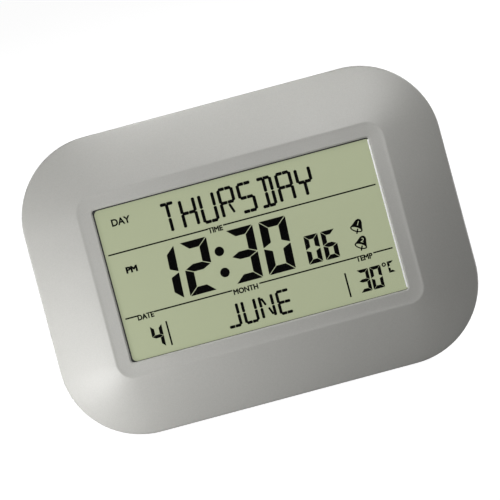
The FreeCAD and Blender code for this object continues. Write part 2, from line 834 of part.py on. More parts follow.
def build_cover():
    outer = new_body("cover_outer")
    extrude(outer, "cover_edge", "front", "rim_back", "cover_shoulder", cover_outline("0"))
    loft(outer, "shoulder", [("cover_shoulder", cover_outline("0")), ("case_depth", back_outline())])
    extrude(outer, "tongue", "front", "tongue_front", "rim_back", tongue_ring)
    extrude(outer, "bay_box", "front", "bay_front", "rim_back", bay("bay_wall"))
    cut_out(outer, "leg_recess", "front", "recess_floor", "case_depth", leg_recess("0"))
    cut_out(outer, "pin_bore", "side", "-(recess_half + pin_seat)", "recess_half + pin_seat",
            lambda sketch: circle(sketch, "hinge_y", "hinge_height", "pin_radius + fit_gap"))
    cut_out(outer, "bay_hollow", "front", "bay_floor", "case_depth", bay("0"))
    cut_out(outer, "door_seat", "front", "door_front", "case_depth",
            lambda sketch: rectangle(sketch, "door_left", "case_width / 2", "door_bottom", "door_top"))
    cut_out(outer, "door_rails", "front", "door_front", "door_front + rail_thickness + door_gap",
            lambda sketch: rectangle(sketch, "door_left", "case_width / 2", "door_bottom - rail_depth",
                                     "door_top + rail_depth"))
    cut_out(outer, "tab_slots", "side", "bay_left - bay_wall", "bay_left", tab_slots("rest_gap"))
    cut_out(outer, "screw_wells", "front", "well_floor", "case_depth", circles(cover_spots(), "well_radius"))
    cut_out(outer, "screw_holes", "front", "rim_back", "well_floor",
            circles(cover_spots(), "screw_radius + fit_gap"))
    cut_out(outer, "button_holes", "front", "cover_inside", "case_depth", button_outlines("button_gap"))
    cut_out(outer, "sound_holes", "front", "cover_inside", "case_depth",
            circles(sound_hole_spots(), "sound_hole_radius"))
    cut_out(outer, "vents", "front", "cover_inside", "case_depth", vent_slots)
    cut_out(outer, "key_post_holes", "front", "switch_front", "switch_front + key_screw_grip",
            circles(key_post_spots(), "board_screw_radius + fit_gap"))
    cut_out(outer, "keyhole", "front", "cover_inside", "case_depth",
            circles([("0", "keyhole_height")], "keyhole_radius"))
    cut_out(outer, "keyhole_slot", "front", "cover_inside", "case_depth",
            lambda sketch: obround(sketch, ("0", "keyhole_height"),
                                   ("0", "keyhole_height + keyhole_slot_rise"), "keyhole_slot_radius"))

    core = new_body("cover_core")
    extrude(core, "core_edge", "front", "tongue_front", "cover_shoulder", cover_outline("cover_edge_wall"))
    loft(core, "core_shoulder", [("cover_shoulder", cover_outline("cover_edge_wall")),
                                 ("cover_inside", back_outline("cover_wall / 3"))])
    cut_out(core, "recess_walls", "front", "recess_wall_front", "cover_inside", leg_recess("cover_wall"))
    cut_out(core, "pin_bosses", "side", "-(recess_half + pin_seat)", "recess_half + pin_seat",
            lambda sketch: rectangle(sketch, "recess_wall_front", "cover_inside", "hinge_height - pin_boss",
                                     "hinge_height + pin_boss"))
    cut_out(core, "bay_walls", "front", "tongue_front", "cover_inside", bay("bay_wall"))
    cut_out(core, "door_seat_walls", "front", "door_front - cover_wall", "cover_inside",
            lambda sketch: rectangle(sketch, "door_left - cover_wall", "case_width / 2",
                                     "door_bottom - rail_depth - cover_wall",
                                     "door_top + rail_depth + cover_wall"))
    cut_out(core, "well_tubes", "front", "rim_back", "cover_inside",
            circles(cover_spots(), "well_radius + well_wall"))
    cut_out(core, "key_posts", "front", "switch_front", "cover_inside",
            circles(key_post_spots(), "key_post_radius"))

    def buzzer_ring(sketch):
        circle(sketch, "buzzer_x", "buzzer_height", "buzzer_radius")
        circle(sketch, "buzzer_x", "buzzer_height", "buzzer_radius - buzzer_ring_width")
    cut_out(core, "buzzer_seat", "front", "buzzer_back", "cover_inside", buzzer_ring)
    cover = document.addObject("Part::Cut", "rear_cover")
    cover.Base = outer
    cover.Tool = core
    finish(cover, "rear_cover")


def build_cover_screws():
    screws = new_body("cover_screws")
    extrude(screws, "screw_shanks", "front", "well_floor - screw_length", "well_floor",
            circles(cover_spots(), "screw_radius"))
    extrude(screws, "screw_heads", "front", "well_floor", "well_floor + screw_head_height",
            circles(cover_spots(), "screw_head_radius"))
    finish(screws, "cover_screws")


# Leg, pin and foot

LEG_ROWS = 3
LEG_COLUMNS = 2


def leg_pockets(sketch):
    """The hollows between the leg's ribs."""
    row = f"((hinge_height - leg_thickness - foot_top - leg_rib) / {LEG_ROWS})"
    column = f"((leg_width - leg_rib) / {LEG_COLUMNS})"
    for across in range(LEG_COLUMNS):
        for up in range(LEG_ROWS):
            left = f"-leg_width / 2 + leg_rib + {across} * {column}"
            bottom = f"foot_top + leg_rib + {up} * {row}"
            rectangle(sketch, left, f"{left} + {column} - leg_rib", bottom, f"{bottom} + {row} - leg_rib")


def foot_profile(sketch):
    """The rubber foot from the side; its underside lies flat on the floor when the leg is out."""
    corners = [("leg_front", "foot_top"), ("leg_back", "foot_top")]
    for depth in ("leg_back", "leg_front"):
        corners.append((depth, f"hinge_height - leg_reach - ({depth} - hinge_y) * tan(foot_turn)"))
    polygon(sketch, corners)


def build_stand():
    leg = new_body("stand_leg")
    extrude(leg, "leg_bar", "side", "-leg_width / 2", "leg_width / 2",
            lambda sketch: obround(sketch, ("hinge_y", "foot_top"), ("hinge_y", "hinge_height"),
                                   "leg_thickness / 2"))
    cut_out(leg, "foot_seat", "side", "-leg_width / 2", "leg_width / 2",
            lambda sketch: rectangle(sketch, "leg_front - leg_gap", "leg_back + leg_gap",
                                     "foot_top - leg_thickness", "foot_top"))
    corners = edges_where(leg, lambda spot: near(abs(spot.x), "leg_width / 2") and near(spot.z, "foot_top"))
    soften(leg, "Fillet", "leg_corners", corners, "leg_corner")
    cut_out(leg, "leg_hollows", "front", "leg_front", "leg_back - leg_skin", leg_pockets)
    cut_out(leg, "leg_bore", "side", "-leg_width / 2", "leg_width / 2",
            lambda sketch: circle(sketch, "hinge_y", "hinge_height", "pin_radius + pin_clearance"))
    finish(leg, "stand_leg")

    foot = new_body("leg_foot")
    extrude(foot, "foot_block", "side", "-foot_length / 2", "foot_length / 2", foot_profile)
    finish(foot, "leg_foot")

    pin = new_body("stand_hinge_pin")
    extrude(pin, "pin_rod", "side", "-(recess_half + pin_seat)", "recess_half + pin_seat",
            lambda sketch: circle(sketch, "hinge_y", "hinge_height", "pin_radius"))
    finish(pin, "stand_hinge_pin")
    return [leg, foot]


# Battery cells, contacts, wires and door


def cell_circle(cell, radius):
    return lambda sketch: circle(sketch, "cell_axis", cell, radius)


def contact_plate(low, high):
    def draw(sketch):
        rectangle(sketch, "cell_axis - contact_width / 2", "cell_axis + contact_width / 2",
                  f"{low} - contact_width / 2", f"{high} + contact_width / 2")
    return draw


def coil_spring(start, turns_back):
    """A tapering coil of short wire lengths, from its wide end at a plate to its narrow end at a cell."""
    height, wire = measure("spring_space - spring_wire"), measure("spring_wire / 2")
    base, top, turns = measure("spring_base") - wire, measure("spring_top") - wire, measure("spring_turns")
    steps = round(turns * COIL_STEPS)
    route = []
    for step in range(steps + 1):
        share = step / steps
        angle = 2 * math.pi * turns * share
        radius = base + (top - base) * share
        route.append(Vector(radius * math.cos(angle), radius * math.sin(angle), height * share))
    ring = Part.makeCircle(wire, route[0], route[1] - route[0])
    corners = [ring.valueAt(2 * math.pi * side / WIRE_SIDES) for side in range(WIRE_SIDES)]
    section = Part.makePolygon(corners + corners[:1])
    path = Part.Wire(Part.makePolygon(route).Edges)
    coil = path.makePipeShell([section], True, False, SHARP_CORNERS)
    coil.Placement = Placement(start, Rotation(Vector(0, 1, 0), -90 if turns_back else 90))
    return coil


def build_battery():
    plate_left = "bay_left + contact_thickness"
    plate_right = "bay_right - contact_thickness"
    cells = new_body("battery_cells")
    extrude(cells, "upper_nub", "side", plate_left, f"{plate_left} + cell_nub_length",
            cell_circle("cell_high", "cell_nub_radius"))
    extrude(cells, "upper_can", "side", f"{plate_left} + cell_nub_length",
            f"{plate_left} + cell_nub_length + cell_length", cell_circle("cell_high", "cell_radius"))
    extrude(cells, "lower_nub", "side", f"{plate_right} - cell_nub_length", plate_right,
            cell_circle("cell_low", "cell_nub_radius"))
    extrude(cells, "lower_can", "side", f"{plate_right} - cell_nub_length - cell_length",
            f"{plate_right} - cell_nub_length", cell_circle("cell_low", "cell_radius"))
    finish(cells, "battery_cells")

    contacts = new_body("battery_contacts")
    for cell in ("cell_low", "cell_high"):
        extrude(contacts, f"{cell}_plate", "side", "bay_left", plate_left, contact_plate(cell, cell))
    extrude(contacts, "solder_tabs", "side", "bay_left - tab_length", "bay_left", tab_slots("0"))
    finish(contacts, "battery_contacts")

    bridge = new_body("battery_bridge")
    extrude(bridge, "bridge_plate", "side", plate_right, "bay_right", contact_plate("cell_low", "cell_high"))
    finish(bridge, "battery_bridge")

    springs = document.addObject("Part::Feature", "battery_springs")
    low = Vector(measure(f"{plate_left} + spring_wire / 2"), measure("cell_axis"), measure("cell_low"))
    high = Vector(measure(f"{plate_right} - spring_wire / 2"), measure("cell_axis"), measure("cell_high"))
    springs.Shape = Part.makeCompound([coil_spring(low, False), coil_spring(high, True)])
    finish(springs, "battery_springs")

    for name, cell in (("battery_wire_red", "cell_high"), ("battery_wire_black", "cell_low")):
        build_wire(name, cell)


def build_wire(name, height):
    """An insulated lead from a solder tab along the bay's end, then straight down to the board."""
    start = "bay_left - bay_wall - wire_radius"
    end = "bay_left - tab_length - wire_run"
    depth = "cell_axis - contact_thickness / 2 - wire_radius"
    wire = new_body(name)
    path = sketch_on(wire, f"{name}_path", "top", height)
    x_start, x_end, y_wire = measure(start), measure(end), measure(depth)
    y_end, bend = measure("board_back"), measure("wire_bend")
    turn = Part.Circle(Vector(x_end + bend, y_wire - bend, 0), Vector(0, 0, 1), bend)
    path.addGeometry(Part.LineSegment(Vector(x_start, y_wire, 0), Vector(x_end + bend, y_wire, 0)), False)
    path.addGeometry(Part.ArcOfCircle(turn, math.pi / 2, math.pi), False)
    path.addGeometry(Part.LineSegment(Vector(x_end, y_wire - bend, 0), Vector(x_end, y_end, 0)), False)
    path.addConstraint(Sketcher.Constraint("Horizontal", 0))
    path.addConstraint(Sketcher.Constraint("Vertical", 2))
    path.addConstraint(Sketcher.Constraint("Tangent", 0, 2, 1, 1))
    path.addConstraint(Sketcher.Constraint("Tangent", 1, 2, 2, 1))
    fix_point(path, 0, 1, start, depth)
    fix_point(path, 2, 2, end, "board_back")
    constrain(path, "Radius", 1, "wire_bend")
    section = sketch_on(wire, f"{name}_section", "side", start)
    circle(section, depth, height, "wire_radius")
    document.recompute()
    lead = wire.newObject("PartDesign::AdditivePipe", f"{name}_lead")
    lead.Profile = section
    lead.Spine = (path, ["Edge1", "Edge2", "Edge3"])
    document.recompute()
    finish(wire, name)


def door_profile(sketch):
    """The door from above: flush with the back, its outer end sloping with the cover's shoulder."""
    slope = "((cover_width - back_width) / 2 / (case_depth - cover_shoulder))"
    front = "door_front + rest_gap"
    polygon(sketch, [("door_left + door_gap", front),
                     (f"back_width / 2 + (case_depth - ({front})) * {slope}", front),
                     ("back_width / 2", "case_depth"), ("door_left + door_gap", "case_depth")])


def build_door():
    door = new_body("battery_door")
    extrude(door, "door_plate", "top", "door_bottom + door_gap", "door_top - door_gap", door_profile)
    extrude(door, "door_tongues", "front", "door_front + rest_gap", "door_front + rail_thickness",
            lambda sketch: rectangle(sketch, "door_left + door_gap", "back_width / 2",
                                     "door_bottom - rail_depth + door_gap",
                                     "door_top + rail_depth - door_gap"))

    def grip(sketch):
        for number in range(GRIP_RIBS):
            left = f"door_left + grip_margin + {number} * grip_pitch"
            middle = "(door_bottom + door_top) / 2"
            obround(sketch, (left, f"{middle} - grip_length / 2"), (left, f"{middle} + grip_length / 2"),
                    "grip_radius")

    extrude(door, "grip_ribs", "front", "case_depth", "case_depth + grip_rise", grip)
    finish(door, "battery_door")


# Buttons, switches and their board


def build_buttons():
    for name, spot in zip(BUTTONS, button_spots()):
        button = new_body(f"{name}_button")
        extrude(button, f"{name}_flange", "front", "flange_front", "flange_back",
                button_outline(spot, "button_flange_lap"))
        extrude(button, f"{name}_cap", "front", "flange_back", "case_depth + button_proud",
                button_outline(spot, "0"))
        top = edges_where(button, lambda spot: near(spot.y, "case_depth + button_proud"))
        soften(button, "Chamfer", f"{name}_edge", top, "button_bevel")
        finish(button, f"{name}_button")
        plate(f"{name}_plunger", "plunger_front", "plunger_back", circles([spot], "plunger_radius"))


def build_key_board():
    def switches(sketch):
        for across, up in button_spots():
            rectangle(sketch, f"{across} - switch_size / 2", f"{across} + switch_size / 2",
                      f"{up} - switch_size / 2", f"{up} + switch_size / 2")
    housing = new_body("key_switches")
    extrude(housing, "switch_boxes", "front", "switch_front", "switch_back", switches)
    cut_out(housing, "plunger_wells", "front", "plunger_front - button_travel - rest_gap", "switch_back",
            circles(button_spots(), "plunger_radius + rest_gap"))
    finish(housing, "key_switches")

    board = new_body("key_board")
    reach = f"button_left + {BUTTON_COLUMNS - 1} * button_pitch_x"
    extrude(board, "key_sheet", "front", "key_board_front", "switch_front",
            lambda sketch: rectangle(sketch, "button_left - key_board_margin", f"{reach} + key_board_margin",
                                     "button_bottom - key_board_margin",
                                     "button_bottom + button_pitch_z + key_board_margin"))
    cut_out(board, "key_screw_holes", "front", "key_board_front", "switch_front",
            circles(key_post_spots(), "board_screw_radius + fit_gap"))
    finish(board, "key_board")

    screws = new_body("key_board_screws")
    extrude(screws, "key_screw_heads", "front", "key_board_front - board_head_height", "key_board_front",
            circles(key_post_spots(), "board_head_radius"))
    extrude(screws, "key_screw_shanks", "front", "key_board_front", "switch_front + key_screw_grip",
            circles(key_post_spots(), "board_screw_radius"))
    finish(screws, "key_board_screws")

    plate("key_ribbon", "board_back", "key_board_front",
          lambda sketch: rectangle(sketch, f"{reach} + key_board_margin - 2 * ribbon_thickness",
                                   f"{reach} + key_board_margin - ribbon_thickness",
                                   "button_bottom + (button_pitch_z - ribbon_width) / 2",
                                   "button_bottom + (button_pitch_z + ribbon_width) / 2"))


def build_buzzer():
    spot = [("buzzer_x", "buzzer_height")]
    plate("buzzer_disc", "buzzer_front", "buzzer_back", circles(spot, "buzzer_radius"))
    plate("buzzer_ceramic", "buzzer_front - ceramic_thickness", "buzzer_front",
          circles(spot, "ceramic_radius"))


# Assembly, leaning back on the rim and the leg


def place_clock(swinging):
    """Leans every piece back, swings the leg out and sets the origin under the clock's middle."""
    lean = Placement(Vector(), Rotation(Vector(1, 0, 0), -measure("lean")))
    hinge = Vector(0, measure("hinge_y"), measure("hinge_height"))
    swing = Placement(Vector(), Rotation(Vector(1, 0, 0), measure("stand_swing")), hinge)
    box = FreeCAD.BoundBox()
    for item in finished:
        item.Placement = lean.multiply(swing) if item in swinging else lean
        if item.Label in ("front_bezel", "leg_foot"):
            box.add(item.Shape.optimalBoundingBox())
    shift = Placement(Vector(0, -box.Center.y, -box.ZMin), Rotation())
    for item in finished:
        item.Placement = shift.multiply(item.Placement)
    document.recompute()
    print("shift", shift.Base)


def export_parts():
    for item in document.Objects:
        if "Invalid" in item.State or "Error" in item.State:
            raise RuntimeError(f"{item.Name} failed")
    os.makedirs("parts", exist_ok=True)
    for item in finished:
        if item.Shape.isNull() or not item.Shape.isValid():
            raise RuntimeError(f"{item.Label} is not a valid solid")
        item.Shape.exportStep(f"parts/{item.Label}.step")
    print(f"{len(finished)} sub-parts")


build_bezel()
build_display()
build_holder_and_board()
build_board_parts()
build_cover()
build_cover_screws()
swinging_parts = build_stand()
build_battery()
build_door()
build_buttons()
build_key_board()
build_buzzer()
place_clock(swinging_parts)
export_parts()
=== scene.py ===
# %% [markdown]
# # A day clock in a sloping case
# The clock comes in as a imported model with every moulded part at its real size. This script
# dresses it: smooth mouldings, a liquid crystal display, finishes, a camera and studio light.

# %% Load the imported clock
import json
import math
import bmesh
import bpy
from mathutils import Matrix, Vector


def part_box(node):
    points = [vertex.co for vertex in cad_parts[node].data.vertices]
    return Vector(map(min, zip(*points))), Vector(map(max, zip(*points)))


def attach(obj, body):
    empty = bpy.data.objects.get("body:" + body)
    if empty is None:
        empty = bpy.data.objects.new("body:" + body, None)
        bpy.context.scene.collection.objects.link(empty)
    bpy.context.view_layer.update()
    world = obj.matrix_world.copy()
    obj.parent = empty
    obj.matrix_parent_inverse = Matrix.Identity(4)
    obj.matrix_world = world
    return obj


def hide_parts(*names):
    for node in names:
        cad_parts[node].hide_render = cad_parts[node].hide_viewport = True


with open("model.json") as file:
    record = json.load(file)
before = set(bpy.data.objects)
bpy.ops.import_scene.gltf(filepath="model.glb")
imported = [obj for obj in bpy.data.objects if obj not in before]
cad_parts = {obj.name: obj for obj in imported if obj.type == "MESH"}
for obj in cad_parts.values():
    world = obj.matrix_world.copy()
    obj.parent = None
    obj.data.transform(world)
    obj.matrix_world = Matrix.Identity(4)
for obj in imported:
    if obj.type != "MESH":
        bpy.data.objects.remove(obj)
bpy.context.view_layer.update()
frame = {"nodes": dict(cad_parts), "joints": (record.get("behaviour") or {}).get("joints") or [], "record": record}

slot_of = {part["node"]: part["material_slot"] for part in frame["record"]["subparts"]}
bodies = frame["record"]["behaviour"]["bodies"]
body_of = {node: body for body, nodes in bodies.items() for node in nodes}
print("nodes", len(frame["nodes"]))

# %% [markdown]
# The case leans back, so pieces on its face are drawn upright in a flat plan and then leaned.
# The buttons' travel points straight through the case, which gives the angle, and the pane's
# middle gives the place. In the plan x is to the right, z up and y into the case.

# %% Find the case's plan
MM = 0.001
PANE_MIDDLE_DEPTH = 3.55 * MM
UPRIGHT = Matrix.Rotation(math.pi / 2, 4, "X")

press = next(joint for joint in frame["joints"] if joint["name"] == "set_button_press")
LEAN = math.atan2(press["axis"][2], -press["axis"][1])
pane_low, pane_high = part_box("display_window")
pane_middle = (Vector(pane_low) + Vector(pane_high)) / 2
CASE = (Matrix.Translation(pane_middle) @ Matrix.Rotation(-LEAN, 4, "X")
        @ Matrix.Translation((0, -PANE_MIDDLE_DEPTH, 0)))
print("lean", round(math.degrees(LEAN), 2))

# %% [markdown]
# Moulded plastic is never perfectly even: the tool leaves a fine grain, and the colour drifts a
# little over a hand's width. Every finish needs that, so it is one node group with its own
# scale for each finish. It puts out a height for the bump and a shade that mixes two tones.

# %% Make the grain group
GRAIN_INPUTS = {"Scale": 2000, "Drift Scale": 12, "Grain Share": 0.5}
FINE_DETAIL, DRIFT_DETAIL = 1, 2


def make_grain():
    group = bpy.data.node_groups.new("grain", "ShaderNodeTree")
    for name, value in GRAIN_INPUTS.items():
        socket = group.interface.new_socket(name, in_out="INPUT", socket_type="NodeSocketFloat")
        socket.default_value = value
    for name in ("Height", "Shade"):
        group.interface.new_socket(name, in_out="OUTPUT", socket_type="NodeSocketFloat")
    nodes, links = group.nodes, group.links
    inside = nodes.new("NodeGroupInput")
    place = nodes.new("ShaderNodeTexCoord")
    fine = nodes.new("ShaderNodeTexNoise")
    fine.inputs["Detail"].default_value = FINE_DETAIL
    drift = nodes.new("ShaderNodeTexNoise")
    drift.inputs["Detail"].default_value = DRIFT_DETAIL
    blend = nodes.new("ShaderNodeMix")
    outside = nodes.new("NodeGroupOutput")
    for noise, scale in ((fine, "Scale"), (drift, "Drift Scale")):
        links.new(place.outputs["Object"], noise.inputs["Vector"])
        links.new(inside.outputs[scale], noise.inputs["Scale"])
    links.new(inside.outputs["Grain Share"], blend.inputs["Factor"])
    links.new(drift.outputs["Fac"], blend.inputs["A"])
    links.new(fine.outputs["Fac"], blend.inputs["B"])
    links.new(fine.outputs["Fac"], outside.inputs["Height"])
    links.new(blend.outputs["Result"], outside.inputs["Shade"])
    return group


GRAIN = make_grain()
print("group", GRAIN.name)

# %% [markdown]
# A finish is one material: two close tones that the grain mixes, a roughness that varies with
# it, and a bump. A flat colour would be quicker, but light would slide over it as over paint.
# What is even all over goes straight on the shader's own sockets.

# %% Build a finish from the grain
TONE_STOPS = (0.3, 0.7)
RELIEF_DEPTH = 0.05 * MM


def new_finish(name, dark, light, roughness, scale=2000, bump=0.1, spread=0.06, **inputs):
    """A material; other inputs are the shader's own sockets, with _ for a space."""
    material = bpy.data.materials.new(name)
    material.use_nodes = True
    nodes, links = material.node_tree.nodes, material.node_tree.links
    shader = nodes["Principled BSDF"]
    for label, value in inputs.items():
        shader.inputs[label.replace("_", " ")].default_value = value
    grain = nodes.new("ShaderNodeGroup")
    grain.node_tree = GRAIN
    grain.inputs["Scale"].default_value = scale
    tones = nodes.new("ShaderNodeValToRGB")
    for stop, place, colour in zip(tones.color_ramp.elements, TONE_STOPS, (dark, light)):
        stop.position = place
        stop.color = (*colour, 1)
    links.new(grain.outputs["Shade"], tones.inputs["Fac"])
    links.new(tones.outputs["Color"], shader.inputs["Base Color"])
    gloss = nodes.new("ShaderNodeMapRange")
    gloss.inputs["To Min"].default_value = roughness - spread
    gloss.inputs["To Max"].default_value = roughness + spread
    links.new(grain.outputs["Height"], gloss.inputs["Value"])
    links.new(gloss.outputs["Result"], shader.inputs["Roughness"])
    relief = nodes.new("ShaderNodeBump")
    relief.inputs["Strength"].default_value = bump
    relief.inputs["Distance"].default_value = RELIEF_DEPTH
    links.new(grain.outputs["Height"], relief.inputs["Height"])
    links.new(relief.outputs["Normal"], shader.inputs["Normal"])
    return material


def grey(value, warmth=0.0):
    return (value * (1 + warmth), value, value * (1 - warmth))


print("a light grey", [round(part, 3) for part in grey(0.66, 0.02)])

# %% [markdown]
# The case is a warm light grey with a fine spark texture, the buttons and the foot are dark.
# Each finish is one row: a dark tone, a light tone, a roughness, and what differs from plain.

# %% List the finishes of the case
CASE_FINISHES = {
    "case_plastic": ((0.423, 0.42, 0.398), (0.483, 0.48, 0.455), 0.45,
                     dict(scale=1500, bump=0.9)),
    "button_plastic": (grey(0.085), grey(0.10), 0.5, dict(scale=2200, bump=0.3)),
    "plunger_plastic": (grey(0.02), grey(0.03), 0.5, {}),
    "inner_plastic": (grey(0.62), grey(0.68), 0.5, {}),
    "foot_rubber": (grey(0.014), grey(0.024), 0.8, dict(scale=1200, bump=0.4)),
    "screw_steel": (grey(0.50), grey(0.62), 0.3, dict(scale=1500, Metallic=1)),
}
print("case finishes", len(CASE_FINISHES))

# %% [markdown]
# A reflective panel looks pale green because its mirror sends light back through two films. A stack of clear
# layers would need many bounces, so the front film is drawn as a solid field, and only the pane before it is
# see-through. Most of the field's pale green is a painted glow of its own, which keeps its tone even where the
# bezel's walls would shade it.

# %% List the finishes of the display
DISPLAY_FINISHES = {
    "clear_pane": (grey(0.02), grey(0.03), 0.08, dict(bump=0, spread=0.02, Alpha=0.04)),
    "tape": (grey(0.012), grey(0.02), 0.75, dict(scale=900, bump=0.3)),
    "display_film": ((0.03, 0.035, 0.03), (0.04, 0.045, 0.04), 0.35, dict(Alpha=0.02)),
    "display_glass": (grey(0.02), (0.02, 0.03, 0.02), 0.08,
                      dict(bump=0, spread=0.02, Alpha=0.02)),
    "display_seal": ((0.30, 0.31, 0.24), (0.34, 0.35, 0.27), 0.6, {}),
    "display_reflector": (grey(0.60), grey(0.66), 0.35, dict(Metallic=0.6)),
    # Painted glow: most of the field's tone is emission, so shade from the bezel does not darken it.
    "display_field": ((0.093, 0.102, 0.066), (0.098, 0.107, 0.069), 0.5,
                      dict(scale=4000, bump=0, Emission_Color=(0.402, 0.440, 0.283, 1),
                           Emission_Strength=0.83)),
    "display_ink": (grey(0.0006), grey(0.0012), 0.5, dict(bump=0, Specular_IOR_Level=0.02)),
    # Painted highlight: a near-white finish with a glow of its own, for the bright line at the window's right.
    "painted_pane_glint": (grey(0.80), grey(0.88), 0.2,
                  dict(scale=600, bump=0.05, Emission_Color=(1, 1, 1, 1),
                       Emission_Strength=0.22)),
}
print("display finishes", len(DISPLAY_FINISHES))

# %% [markdown]
# The electric parts are hidden until the clock is opened, and each still has the look of its
# own stuff: green laminate, black epoxy, tin, brass, and the plastics round wires and cells.

# %% List the finishes of the electric parts
ELECTRIC_FINISHES = {
    "contact_rubber": ((0.24, 0.16, 0.13), (0.30, 0.20, 0.16), 0.7, dict(scale=500)),
    "board_laminate": ((0.02, 0.13, 0.05), (0.03, 0.19, 0.07), 0.35, dict(scale=700, bump=0.3)),
    "black_epoxy": (grey(0.006), grey(0.014), 0.18, dict(scale=150, bump=0.15)),
    "component_can": (grey(0.60), grey(0.72), 0.25, dict(scale=800, Metallic=1)),
    "capacitor_sleeve": ((0.01, 0.012, 0.03), (0.015, 0.02, 0.05), 0.3, {}),
    "resistor_body": (grey(0.012), grey(0.02), 0.4, {}),
    "sensor_bead": ((0.008, 0.01, 0.02), (0.014, 0.016, 0.03), 0.25, {}),
    "cell_sleeve": (grey(0.03), grey(0.05), 0.25, {}),
    "contact_metal": (grey(0.62), grey(0.74), 0.28, dict(scale=1200, Metallic=1)),
    "wire_red": ((0.42, 0.010, 0.008), (0.55, 0.016, 0.012), 0.4, {}),
    "wire_black": (grey(0.010), grey(0.018), 0.4, {}),
    "switch_body": (grey(0.015), grey(0.025), 0.45, {}),
    "ribbon": (grey(0.48), grey(0.56), 0.5, dict(scale=600)),
    "buzzer_brass": ((0.68, 0.46, 0.16), (0.80, 0.56, 0.22), 0.3, dict(scale=900, Metallic=1)),
    "buzzer_white": (grey(0.66, 0.02), grey(0.74, 0.02), 0.35, {}),
}
print("electric finishes", len(ELECTRIC_FINISHES))

# %% [markdown]
# Each imported node is given the finish of its slot. The front film is the one exception: it carries the pale
# green field with its painted glow.

# %% Finish the imported nodes
FINISHES = {
    name: new_finish(name, dark, light, roughness, **other)
    for table in (CASE_FINISHES, DISPLAY_FINISHES, ELECTRIC_FINISHES)
    for name, (dark, light, roughness, other) in table.items()
}
for node, item in frame["nodes"].items():
    finish_name = "display_field" if node == "lcd_front_polarizer" else slot_of[node]
    item.data.materials.clear()
    item.data.materials.append(FINISHES[finish_name])
print("finishes", len(FINISHES))

# %% [markdown]
# Every new piece is added the same way: its mesh is shaded smooth except at edges that turn
# sharply, it takes its slot's finish, and it rides on the body of the node that it stands for.

# %% Add pieces
SHARP_TURN = math.radians(32)


def add_piece(name, bm, slot, body="case", replaces=None, finish=None, sharp_turn=SHARP_TURN):
    mesh = bpy.data.meshes.new(name)
    bm.to_mesh(mesh)
    bm.free()
    mesh.shade_smooth()
    mesh.set_sharp_from_angle(angle=sharp_turn)
    mesh.materials.append(FINISHES[finish or slot])
    piece = bpy.data.objects.new(name, mesh)
    bpy.context.scene.collection.objects.link(piece)
    even = piece.modifiers.new("even_shading", "WEIGHTED_NORMAL")
    even.keep_sharp = True
    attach(piece, body)
    if replaces:
        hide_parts(replaces)
    return piece


print("edges stay sharp past", round(math.degrees(SHARP_TURN)), "degrees")

# %% [markdown]
# All sections of the moulded front are rounded rectangles. One is made from a plain grid of one
# face whose four corners are bevelled; its face is then deleted, so that a loop of edges stays.

# %% Draw a loop of the frame
CORNER_STEPS = 20


def rounded_loop(bm, width, height, corner, depth):
    """The edges of a rounded rectangle that stands upright in the plan."""
    sheet = bmesh.ops.create_grid(bm, x_segments=1, y_segments=1, size=0.5)
    place = (Matrix.Translation((0, depth * MM, 0)) @ UPRIGHT
             @ Matrix.Diagonal((width * MM, height * MM, 1, 1)))
    bmesh.ops.transform(bm, verts=sheet["verts"], matrix=place)
    before = set(bm.verts) - set(sheet["verts"])
    bmesh.ops.bevel(bm, geom=sheet["verts"], affect="VERTICES", offset=corner * MM,
                    segments=CORNER_STEPS, profile=0.5, material=-1)
    loop = [vert for vert in bm.verts if vert not in before]
    faces = list({face for vert in loop for face in vert.link_faces})
    bmesh.ops.delete(bm, geom=faces, context="FACES_ONLY")
    return list({edge for vert in loop for edge in vert.link_edges})


print("steps in a corner", CORNER_STEPS)

# %% [markdown]
# The front is one moulding. Its band swells gently from the rim up to a crisp crest, and a
# dished ring falls from the crest to the window, whose lip is cut a little wider in front. The
# sections are listed by their sizes in millimetres, from the rim round to the inside.

# %% List the sections of the front bezel
CASE_SIZE = (255, 181, 48.7)
CREST_SIZE = (187.6, 110.8, 10)
WINDOW_SIZE = (170, 93.8, 2)
RIM_BACK, BAND_FALL, BAND_BULGE = 17, 11.5, 0.9
RING_FOOT, RING_SHOULDER, RING_DIP = 0.85, 2.5, 1.2
LIP_OUT, LIP_IN, LIP_FALL = 0.45, 0.4, 0.9
WINDOW_LIP, WALL, WALL_FALL = 1.4, 2.4, 1.7
BAND_STEPS = 8


def between(outer, inner, share):
    return [a + (b - a) * share for a, b in zip(outer, inner)]


def inset(size, amount, corner_share=1):
    return [size[0] - 2 * amount, size[1] - 2 * amount, size[2] - amount * corner_share]


def bezel_sections():
    """Each loop of the frame as width, height, corner and depth."""
    sections = [(*CASE_SIZE, RIM_BACK)]
    for step in range(BAND_STEPS):
        share = step / BAND_STEPS
        depth = BAND_FALL * (1 - share) - 4 * BAND_BULGE * share * (1 - share)
        sections.append((*between(CASE_SIZE, CREST_SIZE, share), depth))
    return sections + [
        (*CREST_SIZE, 0),
        (*inset(CREST_SIZE, RING_SHOULDER, 0.5), RING_FOOT),
        (*inset(WINDOW_SIZE, -LIP_OUT), RING_DIP),
        (*inset(WINDOW_SIZE, LIP_IN), RING_DIP + LIP_FALL),
        (*inset(WINDOW_SIZE, LIP_IN), RING_DIP + WINDOW_LIP),
        (*CREST_SIZE, RING_DIP + WINDOW_LIP),
        (*inset(CASE_SIZE, WALL), BAND_FALL + WALL_FALL),
        (*inset(CASE_SIZE, WALL), RIM_BACK),
    ]


print("bezel sections", len(bezel_sections()))

# %% [markdown]
# A subdivided box could be pushed into this shape, but its corners would wander. Bridging one
# loop to the next keeps every radius true. Sharp rings are then bevelled, so that each catches
# the thin line of light that a moulded edge does, and the bottom is trimmed to stand flat.

# %% Shape the front bezel
WELD, SAME_DEPTH = 0.001 * MM, 0.01 * MM
RING_TURN = math.radians(25)
# Each bevelled ring: its depth in the plan, width and steps.
RING_BEVELS = ((BAND_FALL, 1.1, 4), (0, 0.7, 3), (RING_DIP, 0.2, 2))


